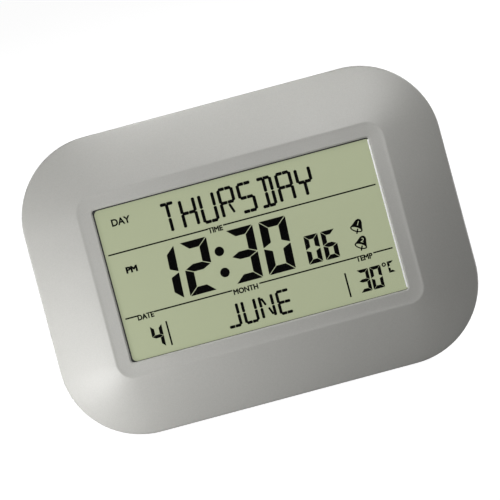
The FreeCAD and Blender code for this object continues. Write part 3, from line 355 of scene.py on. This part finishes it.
def add_mesh(bm, part, name):
    """Copy a finished part into a larger bmesh."""
    holder = bpy.data.meshes.new(name)
    part.to_mesh(holder)
    part.free()
    bm.from_mesh(holder)
    bpy.data.meshes.remove(holder)


def bridge(bm, first, second):
    """A strip between two loops, bridged by itself so that their corners pair up."""
    strip = bmesh.new()
    edges = rounded_loop(strip, *first) + rounded_loop(strip, *second)
    bmesh.ops.bridge_loops(strip, edges=edges)
    add_mesh(bm, strip, "strip")


def bevel_ring(bm, depth, width, steps):
    """Bevel the sharp loop that lies at a depth of the plan."""
    ring = [edge for edge in bm.edges
            if all(abs(vert.co.y - depth * MM) < SAME_DEPTH for vert in edge.verts)
            and edge.calc_face_angle() > RING_TURN]
    bmesh.ops.bevel(bm, geom=ring, affect="EDGES", offset=width * MM, segments=steps,
                    profile=0.5, material=-1)


def stand_flat(bm):
    """Lean the piece and trim what would reach below the surface that the clock stands on."""
    bm.transform(CASE)
    everything = list(bm.verts) + list(bm.edges) + list(bm.faces)
    cut = bmesh.ops.bisect_plane(bm, geom=everything, plane_co=(0, 0, 0), plane_no=(0, 0, -1),
                                 clear_outer=True)
    open_edges = [item for item in cut["geom_cut"] if isinstance(item, bmesh.types.BMEdge)]
    bmesh.ops.holes_fill(bm, edges=open_edges)


def make_bezel():
    bm = bmesh.new()
    sections = bezel_sections()
    for first, second in zip(sections, sections[1:] + sections[:1]):
        bridge(bm, first, second)
    bmesh.ops.remove_doubles(bm, verts=bm.verts, dist=WELD)
    bmesh.ops.recalc_face_normals(bm, faces=bm.faces)
    for ring in RING_BEVELS:
        bevel_ring(bm, *ring)
    stand_flat(bm)
    return bm


bezel = add_piece("bezel_shell", make_bezel(), "case_plastic", replaces="front_bezel")
print("bezel faces", len(bezel.data.polygons))

# %% [markdown]
# Tape, printed marks and raised signs are all thin and flat. Each is drawn as faces with a few
# corners in the plan, pushed back by its thickness, and then set at its depth in the case.

# %% Draw and thicken flat shapes
def add_face(bm, corners, rounding=0.0, slant=0.0, origin=(0, 0)):
    """One flat shape from corners in millimetres, sheared by the slant, moved to an origin."""
    verts = [bm.verts.new(((origin[0] + x + slant * z) * MM, 0, (origin[1] + z) * MM))
             for x, z in corners]
    bm.faces.new(verts)
    if rounding:
        bmesh.ops.bevel(bm, geom=verts, affect="VERTICES", offset=rounding * MM, segments=2,
                        profile=0.5, material=-1)


def thicken(bm, front, thickness):
    """Give flat shapes their thickness and set their front at a depth of the plan."""
    back = bmesh.ops.extrude_face_region(bm, geom=list(bm.faces))
    moved = [item for item in back["geom"] if isinstance(item, bmesh.types.BMVert)]
    bmesh.ops.translate(bm, verts=moved, vec=(0, thickness * MM, 0))
    bmesh.ops.recalc_face_normals(bm, faces=bm.faces)
    bm.transform(CASE @ Matrix.Translation((0, front * MM, 0)))


print("flat shapes ready")

# %% [markdown]
# A flat frame of the dark tape, whose hole is set a little aside, is painted shade: its black edge shows as a thin
# line at the left and the top of the opening, where the window's wall would be in shade.

# %% Lay the tape's painted shadow line
TAPE_HOLE, TAPE_SHADE_SHIFT = (169.2, 91.95, 2.8), (0.85, -0.25)
TAPE_REACH = 0.8
TAPE_FRONT, TAPE_THICKNESS = 2.62, 0.16

tape = bmesh.new()
outer = rounded_loop(tape, *inset(WINDOW_SIZE, -TAPE_REACH), 0)
hole = rounded_loop(tape, *TAPE_HOLE, 0)
aside = {vert for edge in hole for vert in edge.verts}
# Painted shade: the hole moves right and down, so the dark tape shows as a line at the left and the top.
bmesh.ops.translate(tape, verts=list(aside), vec=(TAPE_SHADE_SHIFT[0] * MM, 0, TAPE_SHADE_SHIFT[1] * MM))
bmesh.ops.bridge_loops(tape, edges=outer + hole)
thicken(tape, TAPE_FRONT, TAPE_THICKNESS)
add_piece("tape_shadow_line", tape, "tape")
print("tape edge laid")

# %% [markdown]
# At the right a painted highlight stands for the light that the edge of the opening catches: a slim pale bar with
# a little glow of its own, just inside the opening, seen as a bright thin line.

# %% Set the painted highlight at the right of the opening
PAINTED_GLINT = [(84.55, 45.6), (83.75, 44.9), (83.75, -44.9), (84.55, -45.6)]
PAINTED_GLINT_FRONT, PAINTED_GLINT_THICKNESS = 2.42, 0.14

painted_pane_glint = bmesh.new()
add_face(painted_pane_glint, PAINTED_GLINT)
thicken(painted_pane_glint, PAINTED_GLINT_FRONT, PAINTED_GLINT_THICKNESS)
# Painted highlight: a pale bar that glows a little of itself.
add_piece("painted_pane_glint", painted_pane_glint, "clear_pane", finish="painted_pane_glint")
print("pane edge set")

# %% [markdown]
# The back parts keep their modelled shapes. A copy of each is joined up where its faces meet, so that it can be
# shaded smooth, and the outline edges of the leg, the door and the buttons are softened as a mould would. The
# cover has shallow slopes that have to stay crisp, so its edges count as sharp much sooner.

# %% Smooth the moulded back parts
NODE_WELD = 0.002 * MM
FLAT_TURN, OUTLINE_TURN = math.radians(0.02), math.radians(40)
COVER_SHARP = math.radians(14)
LEG_SOFTEN, DOOR_SOFTEN, BUTTON_SOFTEN = 0.35, 0.2, 0.15


def smooth_copy(node, name, soften=0.0, sharp_turn=SHARP_TURN):
    bm = bmesh.new()
    bm.from_mesh(frame["nodes"][node].data)
    bmesh.ops.remove_doubles(bm, verts=bm.verts, dist=NODE_WELD)
    if soften:
        bmesh.ops.dissolve_limit(bm, angle_limit=FLAT_TURN, verts=bm.verts, edges=bm.edges)
        corners = [edge for edge in bm.edges if edge.is_manifold and edge.is_convex
                   and edge.calc_face_angle() > OUTLINE_TURN]
        bmesh.ops.bevel(bm, geom=corners, affect="EDGES", offset=soften * MM, segments=2,
                        profile=0.5, material=-1, clamp_overlap=True)
    add_piece(name, bm, slot_of[node], body=body_of[node], replaces=node, sharp_turn=sharp_turn)


smooth_copy("rear_cover", "cover_moulding", sharp_turn=COVER_SHARP)
smooth_copy("stand_leg", "leg_moulding", soften=LEG_SOFTEN)
smooth_copy("battery_door", "door_moulding", soften=DOOR_SOFTEN)
buttons = [node for node in sorted(frame["nodes"]) if node.endswith("_button")]
for node in buttons:
    smooth_copy(node, f"{node}_cap", soften=BUTTON_SOFTEN)
print("smoothed back parts, buttons", len(buttons))

# %% [markdown]
# The battery door is pushed outwards, and a low raised arrow beside its grip shows which way.
# It is a flat triangle that reaches into the door by a little, so that no gap shows.

# %% Mark the battery door
ARROW_LENGTH, ARROW_HEIGHT, ARROW_RISE, ARROW_DEPTH = 7.0, 8.0, 0.45, 0.1
ARROW_PLACE = 0.24
GRIP_RISE = 0.5

door_places = [CASE.inverted() @ vert.co for vert in frame["nodes"]["battery_door"].data.vertices]
door_across, door_deep, door_up = (
    [picked(place[axis] for place in door_places) / MM for picked in (min, max)]
    for axis in range(3))
base = door_across[0] + ARROW_PLACE * (door_across[1] - door_across[0])
level = sum(door_up) / 2
arrow = bmesh.new()
add_face(arrow, [(base, level - ARROW_HEIGHT / 2), (base + ARROW_LENGTH, level),
                 (base, level + ARROW_HEIGHT / 2)])
thicken(arrow, door_deep[1] - GRIP_RISE - ARROW_DEPTH, ARROW_RISE + ARROW_DEPTH)
add_piece("door_arrow", arrow, slot_of["battery_door"], body=body_of["battery_door"])
print("door width", round(door_across[1] - door_across[0], 2))

# %% [markdown]
# The large digits have seven bars, a to g, with mitred ends. The upper and lower halves of a
# digit mirror each other, so each bar is given by its corners in one cell, and a gap keeps it
# from its neighbours.

# %% Draw seven-segment digits
DIGIT_BARS = {"0": "abcdef", "1": "bc", "2": "abged", "3": "abgcd", "4": "fgbc",
              "6": "afgedc", "C": "afed"}


def bar_corners(width, height, across, upright, gap):
    """Corners of each bar; across is a level bar's thickness and upright a standing bar's."""
    middle, half = height / 2, across / 2
    slope = gap * upright / half
    left_upper = [(0, height - gap), (upright, height - across - gap),
                  (upright, middle + half + gap), (0, middle + gap)]
    top = [(gap, height), (width - gap, height), (width - upright - gap, height - across),
           (upright + gap, height - across)]
    return {
        "a": top,
        "b": [(width - x, z) for x, z in left_upper],
        "c": [(width - x, height - z) for x, z in left_upper],
        "d": [(x, height - z) for x, z in top],
        "e": [(x, height - z) for x, z in left_upper],
        "f": left_upper,
        "g": [(slope, middle), (upright + gap, middle + half),
              (width - upright - gap, middle + half), (width - slope, middle),
              (width - upright - gap, middle - half), (upright + gap, middle - half)],
    }


def add_digits(bm, text, left, bottom, pitch, cell, strokes, gap, slant, rounding):
    bars = bar_corners(*cell, *strokes, gap)
    for number, digit in enumerate(text):
        for name in DIGIT_BARS[digit]:
            add_face(bm, bars[name], rounding, slant, (left + number * pitch, bottom))


print("digits known", len(DIGIT_BARS))

# %% [markdown]
# The weekday and the month use fourteen segments: the same outline, with level bars in two
# halves and thin diagonals. Each bar is a pointed strip between two places on the cell, and two
# level halves have blunt ends where they meet.

# %% Draw fourteen-segment letters
LETTER_PLACES = {
    "a1": ((0, 1), (0.5, 1)), "a2": ((0.5, 1), (1, 1)),
    "b": ((1, 0.5), (1, 1)), "c": ((1, 0), (1, 0.5)),
    "d1": ((0, 0), (0.5, 0)), "d2": ((0.5, 0), (1, 0)),
    "e": ((0, 0), (0, 0.5)), "f": ((0, 0.5), (0, 1)),
    "g1": ((0, 0.5), (0.5, 0.5)), "g2": ((0.5, 0.5), (1, 0.5)),
    "i": ((0.5, 0.5), (0.5, 1)), "l": ((0.5, 0), (0.5, 0.5)),
    "h": ((0.16, 0.92), (0.42, 0.56)), "m": ((0.58, 0.44), (0.84, 0.08)),
}
LETTER_BARS = {
    "T": "a1 a2 i l", "H": "f e b c g1 g2", "U": "f e b c d1 d2", "R": "a1 a2 b f e g1 g2 m",
    "S": "a1 a2 f g1 g2 c d1 d2", "D": "a1 a2 b c d1 d2 i l", "A": "a1 a2 b c e f g1 g2",
    "Y": "f b g1 g2 l", "J": "b c d1 d2", "N": "f e b c h m", "E": "a1 a2 f e g1 g2 d1 d2",
}
DIAGONALS, DIAGONAL_SHARE = "hm", 0.75
LETTER_GAP, STRIP_ROUNDING = 0.04, 0.08
TIP_SHARE, MIDDLE_TIP_SHARE = 0.26, 0.1


def add_strip(bm, start, end, stroke, gap, tips=(TIP_SHARE, TIP_SHARE)):
    """A bar between two places, with a point at each end; tips are their lengths in strokes."""
    along = (Vector(end) - Vector(start)).normalized()
    side = Vector((-along.y, along.x)) * stroke / 2
    first, last = Vector(start) + along * gap, Vector(end) - along * gap
    near, far = (along * stroke * share for share in tips)
    add_face(bm, [first, first + near + side, last - far + side,
                  last, last - far - side, first + near - side], STRIP_ROUNDING)


def add_letters(bm, text, middles, centre_z, cell, stroke):
    for letter, middle in zip(text, middles):
        for name in LETTER_BARS[letter].split():
            places = LETTER_PLACES[name]
            start, end = ((middle + (x - 0.5) * cell[0], centre_z + (z - 0.5) * cell[1])
                          for x, z in places)
            width = stroke * DIAGONAL_SHARE if name in DIAGONALS else stroke
            tips = [MIDDLE_TIP_SHARE if name[0] in "adg" and x == 0.5 else TIP_SHARE
                    for x, _ in places]
            add_strip(bm, start, end, width, LETTER_GAP, tips)


print("letters known", len(LETTER_BARS))

# %% [markdown]
# The colon, the degree ring and the bells' mouths are round. A circle operator draws each, and a
# scaled and turned copy gives an oval; a ring is two circles, bridged.

# %% Draw round marks
ROUND_STEPS = 32


def stand_at(middle, turn=0.0):
    """Where a flat mark that was drawn lying down stands in the plan."""
    return (Matrix.Translation((middle[0] * MM, 0, middle[1] * MM))
            @ Matrix.Rotation(turn, 4, "Y") @ UPRIGHT)


def add_oval(bm, middle, radii, turn=0.0):
    disc = bmesh.ops.create_circle(bm, cap_ends=True, segments=ROUND_STEPS, radius=1)
    stretch = Matrix.Diagonal((radii[0] * MM, radii[1] * MM, 1, 1))
    bmesh.ops.transform(bm, verts=disc["verts"], matrix=stand_at(middle, turn) @ stretch)


def add_ring(bm, middle, radius, stroke):
    ring = bmesh.new()
    for size in (radius, radius - stroke):
        bmesh.ops.create_circle(ring, segments=ROUND_STEPS, radius=size * MM)
    bmesh.ops.bridge_loops(ring, edges=ring.edges)
    ring.transform(stand_at(middle))
    add_mesh(bm, ring, "ring")


print("steps in a circle", ROUND_STEPS)

# %% [markdown]
# The panel shows a sample reading: the weekday, the time with its seconds, the date, the
# month and the temperature. Places are in millimetres from the middle of the case.

# %% Choose what the display shows
# Each word: first letter's middle, pitch, height of the middle, cell, stroke.
WORDS = {
    "THURSDAY": (-40.95, 11.81, 30.75, (8.0, 16.6), 1.95),
    "JUNE": (-19.9, 10.6, -34.8, (7.2, 13.1), 1.75),
}
# Each number: left, bottom, pitch, cell, strokes of its level and standing bars, gap, slant,
# rounding.
BIG, BIG_STROKES = (16.3, 32.0), (4.5, 5.0)
NUMBERS = [
    ("12", -61.1, -17.5, 20.0, BIG, BIG_STROKES, 0.3, 0.05, 0.4),
    ("30", -12.8, -17.5, 20.05, BIG, BIG_STROKES, 0.3, 0.05, 0.4),
    ("06", 31.75, -17.6, 10.35, (8.55, 17.1), (2.6, 2.8), 0.2, 0.04, 0.2),
    ("4", -69.5, -42.0, 0, (7.0, 13.5), (2.0, 2.1), 0.12, 0.03, 0.12),
    ("30", 57.2, -41.7, 7.65, (6.8, 13.5), (1.95, 2.0), 0.12, 0.03, 0.12),
    ("C", 76.2, -34.4, 0, (3.9, 6.8), (1.3, 1.4), 0.04, 0, 0.06),
]
COLON_X, COLON_HEIGHTS, COLON_RADIUS = -17.75, (3.9, -9.0), 2.83
DEGREE_MIDDLE, DEGREE_RADIUS, DEGREE_STROKE = (74.2, -28.85), 1.3, 0.75
print("words", len(WORDS), "numbers", len(NUMBERS))

# %% [markdown]
# Thin lines part the fields, and stop on either side of a caption. Lines, dividers, letters and
# digits are printed in one go on a real panel, so here they are one mesh of one thickness.

# %% Draw the segments
SEGMENT_FRONT, SEGMENT_THICKNESS = 4.38, 0.06
HALF_LINE, LINE_STROKE = 81.9, 0.84
LINE_STOPS = {
    18.35: (-HALF_LINE, -20.8, -11.6, HALF_LINE),
    -20.5: (-HALF_LINE, -74.6, -64.6, -16.4, 0.2, 59.6, 70.0, HALF_LINE),
}
DIVIDERS, DIVIDER_STROKE, DIVIDER_ENDS = (-58.95, 50.6), 1.0, (-42.4, -27.8)


def add_bar(bm, left, right, bottom, top):
    add_face(bm, [(left, bottom), (right, bottom), (right, top), (left, top)])


segments = bmesh.new()
for word, (first, pitch, centre_z, cell, stroke) in WORDS.items():
    middles = [first + pitch * number for number in range(len(word))]
    add_letters(segments, word, middles, centre_z, cell, stroke)
for number in NUMBERS:
    add_digits(segments, *number)
for middle in DIVIDERS:
    add_bar(segments, middle - DIVIDER_STROKE / 2, middle + DIVIDER_STROKE / 2, *DIVIDER_ENDS)
for level, stops in LINE_STOPS.items():
    for left, right in zip(stops[::2], stops[1::2]):
        add_bar(segments, left, right, level - LINE_STROKE / 2, level + LINE_STROKE / 2)
for height in COLON_HEIGHTS:
    add_oval(segments, (COLON_X, height), (COLON_RADIUS, COLON_RADIUS))
add_ring(segments, DEGREE_MIDDLE, DEGREE_RADIUS, DEGREE_STROKE)
thicken(segments, SEGMENT_FRONT, SEGMENT_THICKNESS)
add_piece("display_segments", segments, "display_seal", finish="display_ink")
print("segments drawn")

# %% [markdown]
# Small captions name the fields. They are plain words, made with a text object that becomes a
# mesh before it is put in place. The outline of each letter is then pushed outwards, square to
# its edges, because the lettering of such a panel is bolder than the font. The text object has
# an offset of its own, but that fills in the narrow notches of an M.

# %% Make bold flat words
SHARPEST = 0.3


def grow(letters, weight):
    """Push the outline of flat letters outwards, by the weight in millimetres."""
    letters.normal_update()
    sides = {}
    for edge in letters.edges:
        if edge.is_boundary:
            loop = edge.link_loops[0]
            line = loop.link_loop_next.vert.co - loop.vert.co
            side = line.cross(loop.face.normal).normalized()
            for vert in edge.verts:
                sides.setdefault(vert, []).append(side)
    for vert, (first, *others) in sides.items():
        if len(others) == 1:
            second = others[0]
            vert.co += (first + second) * weight * MM / max(1 + first.dot(second), SHARPEST)


def add_caption(bm, word, middle, cap_height, weight, stretch=1.0, turn=0.0):
    """A word as flat faces; weight is how far its strokes grow, in millimetres."""
    text = bpy.data.curves.new(word, "FONT")
    text.body = word
    text.align_x = text.align_y = "CENTER"
    holder = bpy.data.objects.new(word, text)
    bpy.context.scene.collection.objects.link(holder)
    bpy.context.view_layer.update()
    mesh = bpy.data.meshes.new_from_object(holder)
    heights = [vert.co.y for vert in mesh.vertices]
    scale = cap_height * MM / (max(heights) - min(heights))
    letters = bmesh.new()
    letters.from_mesh(mesh)
    letters.transform(stand_at(middle, turn) @ Matrix.Diagonal((scale * stretch, scale, scale, 1)))
    bmesh.ops.remove_doubles(letters, verts=letters.verts, dist=WELD)
    grow(letters, weight)
    add_mesh(bm, letters, word)
    bpy.data.objects.remove(holder)
    bpy.data.meshes.remove(mesh)


print("sharpest corner", SHARPEST)

# %% [markdown]
# Each caption stands beside its field or hangs from its line. The one for the afternoon is
# bolder and wider than the rest, as it is a segment of the panel and not a printed label.

# %% Print the captions
# Each caption: middle, height of its capitals, weight, stretch.
CAPTIONS = {
    "DAY": ((-69.7, 36.15), 3.95, 0.19, 0.98), "PM": ((-70.6, 7.0), 3.3, 0.31, 1.15),
    "TIME": ((-16.6, 17.0), 3.0, 0.18, 0.93), "DATE": ((-69.8, -21.9), 3.0, 0.18, 0.91),
    "MONTH": ((-8.4, -21.9), 3.0, 0.18, 0.96), "TEMP": ((64.2, -21.9), 3.0, 0.18, 0.94),
}
captions = bmesh.new()
for word, (middle, cap_height, weight, stretch) in CAPTIONS.items():
    add_caption(captions, word, middle, cap_height, weight, stretch)
thicken(captions, SEGMENT_FRONT, SEGMENT_THICKNESS)
add_piece("display_captions", captions, "display_seal", finish="display_ink")
print("captions printed", len(CAPTIONS))

# %% [markdown]
# Two small tilted bells stand for the two alarms. Each is a dark dome with a pale mouth, a
# number and a clapper, laid over one another in thin sheets so that none meets another.

# %% Draw the alarm bells
BELL_TILT = math.radians(30)
BELL_SIDE = [(-3.8, -0.35), (-3.7, 0.5), (-3.1, 1.65), (-2.5, 3.3), (-2.0, 4.8), (-1.1, 5.9),
             (-0.3, 6.2)]
BELL_MIDDLES = {"1": (64.0, -4.3), "2": (64.0, -14.6)}
MOUTH, MOUTH_INSIDE = (3.8, 1.7), (2.95, 0.95)
CLAPPER_TOP, CLAPPER_END, CLAPPER_STROKE = (0.9, 0.1), (-0.5, -2.9), 0.85
NUMBER_RISE, NUMBER_HEIGHT, NUMBER_WEIGHT = 3.4, 2.5, 0.05
PALE_FRONT, CLAPPER_FRONT, SHEET_THICKNESS = 4.345, 4.31, 0.025


def tilted(spot, middle):
    across, up = spot
    return (middle[0] + across * math.cos(BELL_TILT) + up * math.sin(BELL_TILT),
            middle[1] - across * math.sin(BELL_TILT) + up * math.cos(BELL_TILT))


domes, pale, clappers = bmesh.new(), bmesh.new(), bmesh.new()
for number, middle in BELL_MIDDLES.items():
    outline = BELL_SIDE + [(-across, up) for across, up in reversed(BELL_SIDE)]
    add_face(domes, [tilted(spot, middle) for spot in outline])
    add_oval(domes, middle, MOUTH, BELL_TILT)
    add_oval(pale, middle, MOUTH_INSIDE, BELL_TILT)
    add_caption(pale, number, tilted((0, NUMBER_RISE), middle), NUMBER_HEIGHT, NUMBER_WEIGHT,
                turn=BELL_TILT)
    top, end = ([a + b for a, b in zip(middle, spot)] for spot in (CLAPPER_TOP, CLAPPER_END))
    add_strip(clappers, top, end, CLAPPER_STROKE, 0)
thicken(domes, SEGMENT_FRONT, SEGMENT_THICKNESS)
thicken(pale, PALE_FRONT, SHEET_THICKNESS)
thicken(clappers, CLAPPER_FRONT, SHEET_THICKNESS)
add_piece("bell_domes", domes, "display_seal", finish="display_ink")
# The bells' pale mouths and numbers take the field's painted glow.
add_piece("bell_numbers", pale, "display_seal", finish="display_field")
add_piece("bell_clappers", clappers, "display_seal", finish="display_ink")
print("bells drawn", len(BELL_MIDDLES))

# %% [markdown]
# The stage is a wide pale floor. Seen straight by the camera or in a reflection it is nearly
# white of itself, and it keeps the clock's soft shadow. Its own colour is dull, so that it
# throws little light up at the case.

# %% Lay the floor
FLOOR_HALF = 4
FLOOR_GREY, FLOOR_ROUGHNESS, FLOOR_GLOW = 0.2, 0.9, 0.95


def floor_finish():
    """Matt, and brightened only where the camera or a reflection sees it."""
    material = bpy.data.materials.new("floor_white")
    material.use_nodes = True
    nodes, links = material.node_tree.nodes, material.node_tree.links
    shader = nodes["Principled BSDF"]
    shader.inputs["Base Color"].default_value = (*grey(FLOOR_GREY), 1)
    shader.inputs["Roughness"].default_value = FLOOR_ROUGHNESS
    shader.inputs["Emission Color"].default_value = (1, 1, 1, 1)
    path = nodes.new("ShaderNodeLightPath")
    seen = path.outputs["Is Camera Ray"]
    for ray in ("Is Glossy Ray", "Is Transmission Ray"):
        either = nodes.new("ShaderNodeMath")
        either.operation = "MAXIMUM"
        links.new(seen, either.inputs[0])
        links.new(path.outputs[ray], either.inputs[1])
        seen = either.outputs["Value"]
    glow = nodes.new("ShaderNodeMath")
    glow.operation = "MULTIPLY"
    glow.inputs[1].default_value = FLOOR_GLOW
    links.new(seen, glow.inputs[0])
    links.new(glow.outputs["Value"], shader.inputs["Emission Strength"])
    return material


floor_bm = bmesh.new()
bmesh.ops.create_grid(floor_bm, x_segments=1, y_segments=1, size=FLOOR_HALF)
floor_mesh = bpy.data.meshes.new("floor")
floor_bm.to_mesh(floor_mesh)
floor_bm.free()
floor_mesh.materials.append(floor_finish())
floor = bpy.data.objects.new("floor", floor_mesh)
bpy.context.scene.collection.objects.link(floor)
print("floor", 2 * FLOOR_HALF, "m wide")

# %% [markdown]
# A pale grey moulding shows its form only through slow changes of tone, so the lamps are soft
# boxes. One near the lower left corner makes the bright side, dim ones above and at the right
# model the top and the ring, and two behind keep the back from going black.

# %% Light the studio
WORLD_GREY, WORLD_STRENGTH = 0.9, 0.06
CLOCK_MIDDLE = CASE @ Vector((0, 0, 0))
LOW_LEFT = Vector((-0.12, -0.02, 0.02))
# Each lamp: place, what it points at, size in metres, watts.
LIGHTS = {
    "corner_box": ((-0.24, -0.24, 0.03), LOW_LEFT, (0.10, 0.10), 0.86),
    "crown_box": ((0.06, -0.17, 0.275), CLOCK_MIDDLE, (0.08, 0.08), 0.14),
    "high_box": ((-0.04, -0.01, 0.33), CLOCK_MIDDLE, (0.10, 0.06), 0.2),
    "right_crown_box": ((0.14, -0.09, 0.27), CLOCK_MIDDLE, (0.08, 0.08), 0.095),
    "right_box": ((0.31, 0.03, 0.04), CLOCK_MIDDLE, (0.11, 0.11), 0.14),
    "left_box": ((-0.40, 0.0, 0.12), CLOCK_MIDDLE, (0.12, 0.12), 0.4),
    "back_left_box": ((-0.8, 1.2, 0.5), CLOCK_MIDDLE, (0.6, 0.6), 5),
    "back_right_box": ((0.9, 1.0, 0.6), CLOCK_MIDDLE, (0.5, 0.5), 11),
}


def softbox(name, place, target, size, watts):
    light = bpy.data.lights.new(name, "AREA")
    light.shape = "RECTANGLE"
    light.size, light.size_y = size
    light.energy = watts
    lamp = bpy.data.objects.new(name, light)
    lamp.location = place
    lamp.rotation_euler = (target - Vector(place)).to_track_quat("-Z", "Y").to_euler()
    bpy.context.scene.collection.objects.link(lamp)


for name, lamp_values in LIGHTS.items():
    softbox(name, *lamp_values)
world = bpy.data.worlds.new("studio")
bpy.context.scene.world = world
world.use_nodes = True
sky = world.node_tree.nodes["Background"]
sky.inputs["Color"].default_value = (*grey(WORLD_GREY), 1)
sky.inputs["Strength"].default_value = WORLD_STRENGTH
print("lamps", len(LIGHTS))

# %% [markdown]
# The photograph looks straight at the clock's face through a long lens and is turned, so the
# camera stands off along the face's own normal and rolls.

# %% Set the camera
WIDTH_IN_IMAGE, IMAGE_SIZE = 429.5, 500
TURN = math.radians(15)
LENS, SENSOR, CLIP_END = 300, 36, 20
FOCUS_DEPTH = 12

view_width = CASE_SIZE[0] * MM * IMAGE_SIZE / WIDTH_IN_IMAGE
distance = view_width * LENS / SENSOR
camera_data = bpy.data.cameras.new("camera")
camera_data.lens = LENS
camera_data.sensor_width = SENSOR
camera_data.clip_end = CLIP_END
camera = bpy.data.objects.new("camera", camera_data)
camera.matrix_world = (CASE @ Matrix.Translation((0, FOCUS_DEPTH * MM - distance, 0))
                       @ Matrix.Rotation(TURN, 4, "Y") @ UPRIGHT)
bpy.context.scene.collection.objects.link(camera)
bpy.context.scene.camera = camera
bpy.context.scene.view_settings.view_transform = "Standard"
print("camera stands off", round(distance, 3), "m")
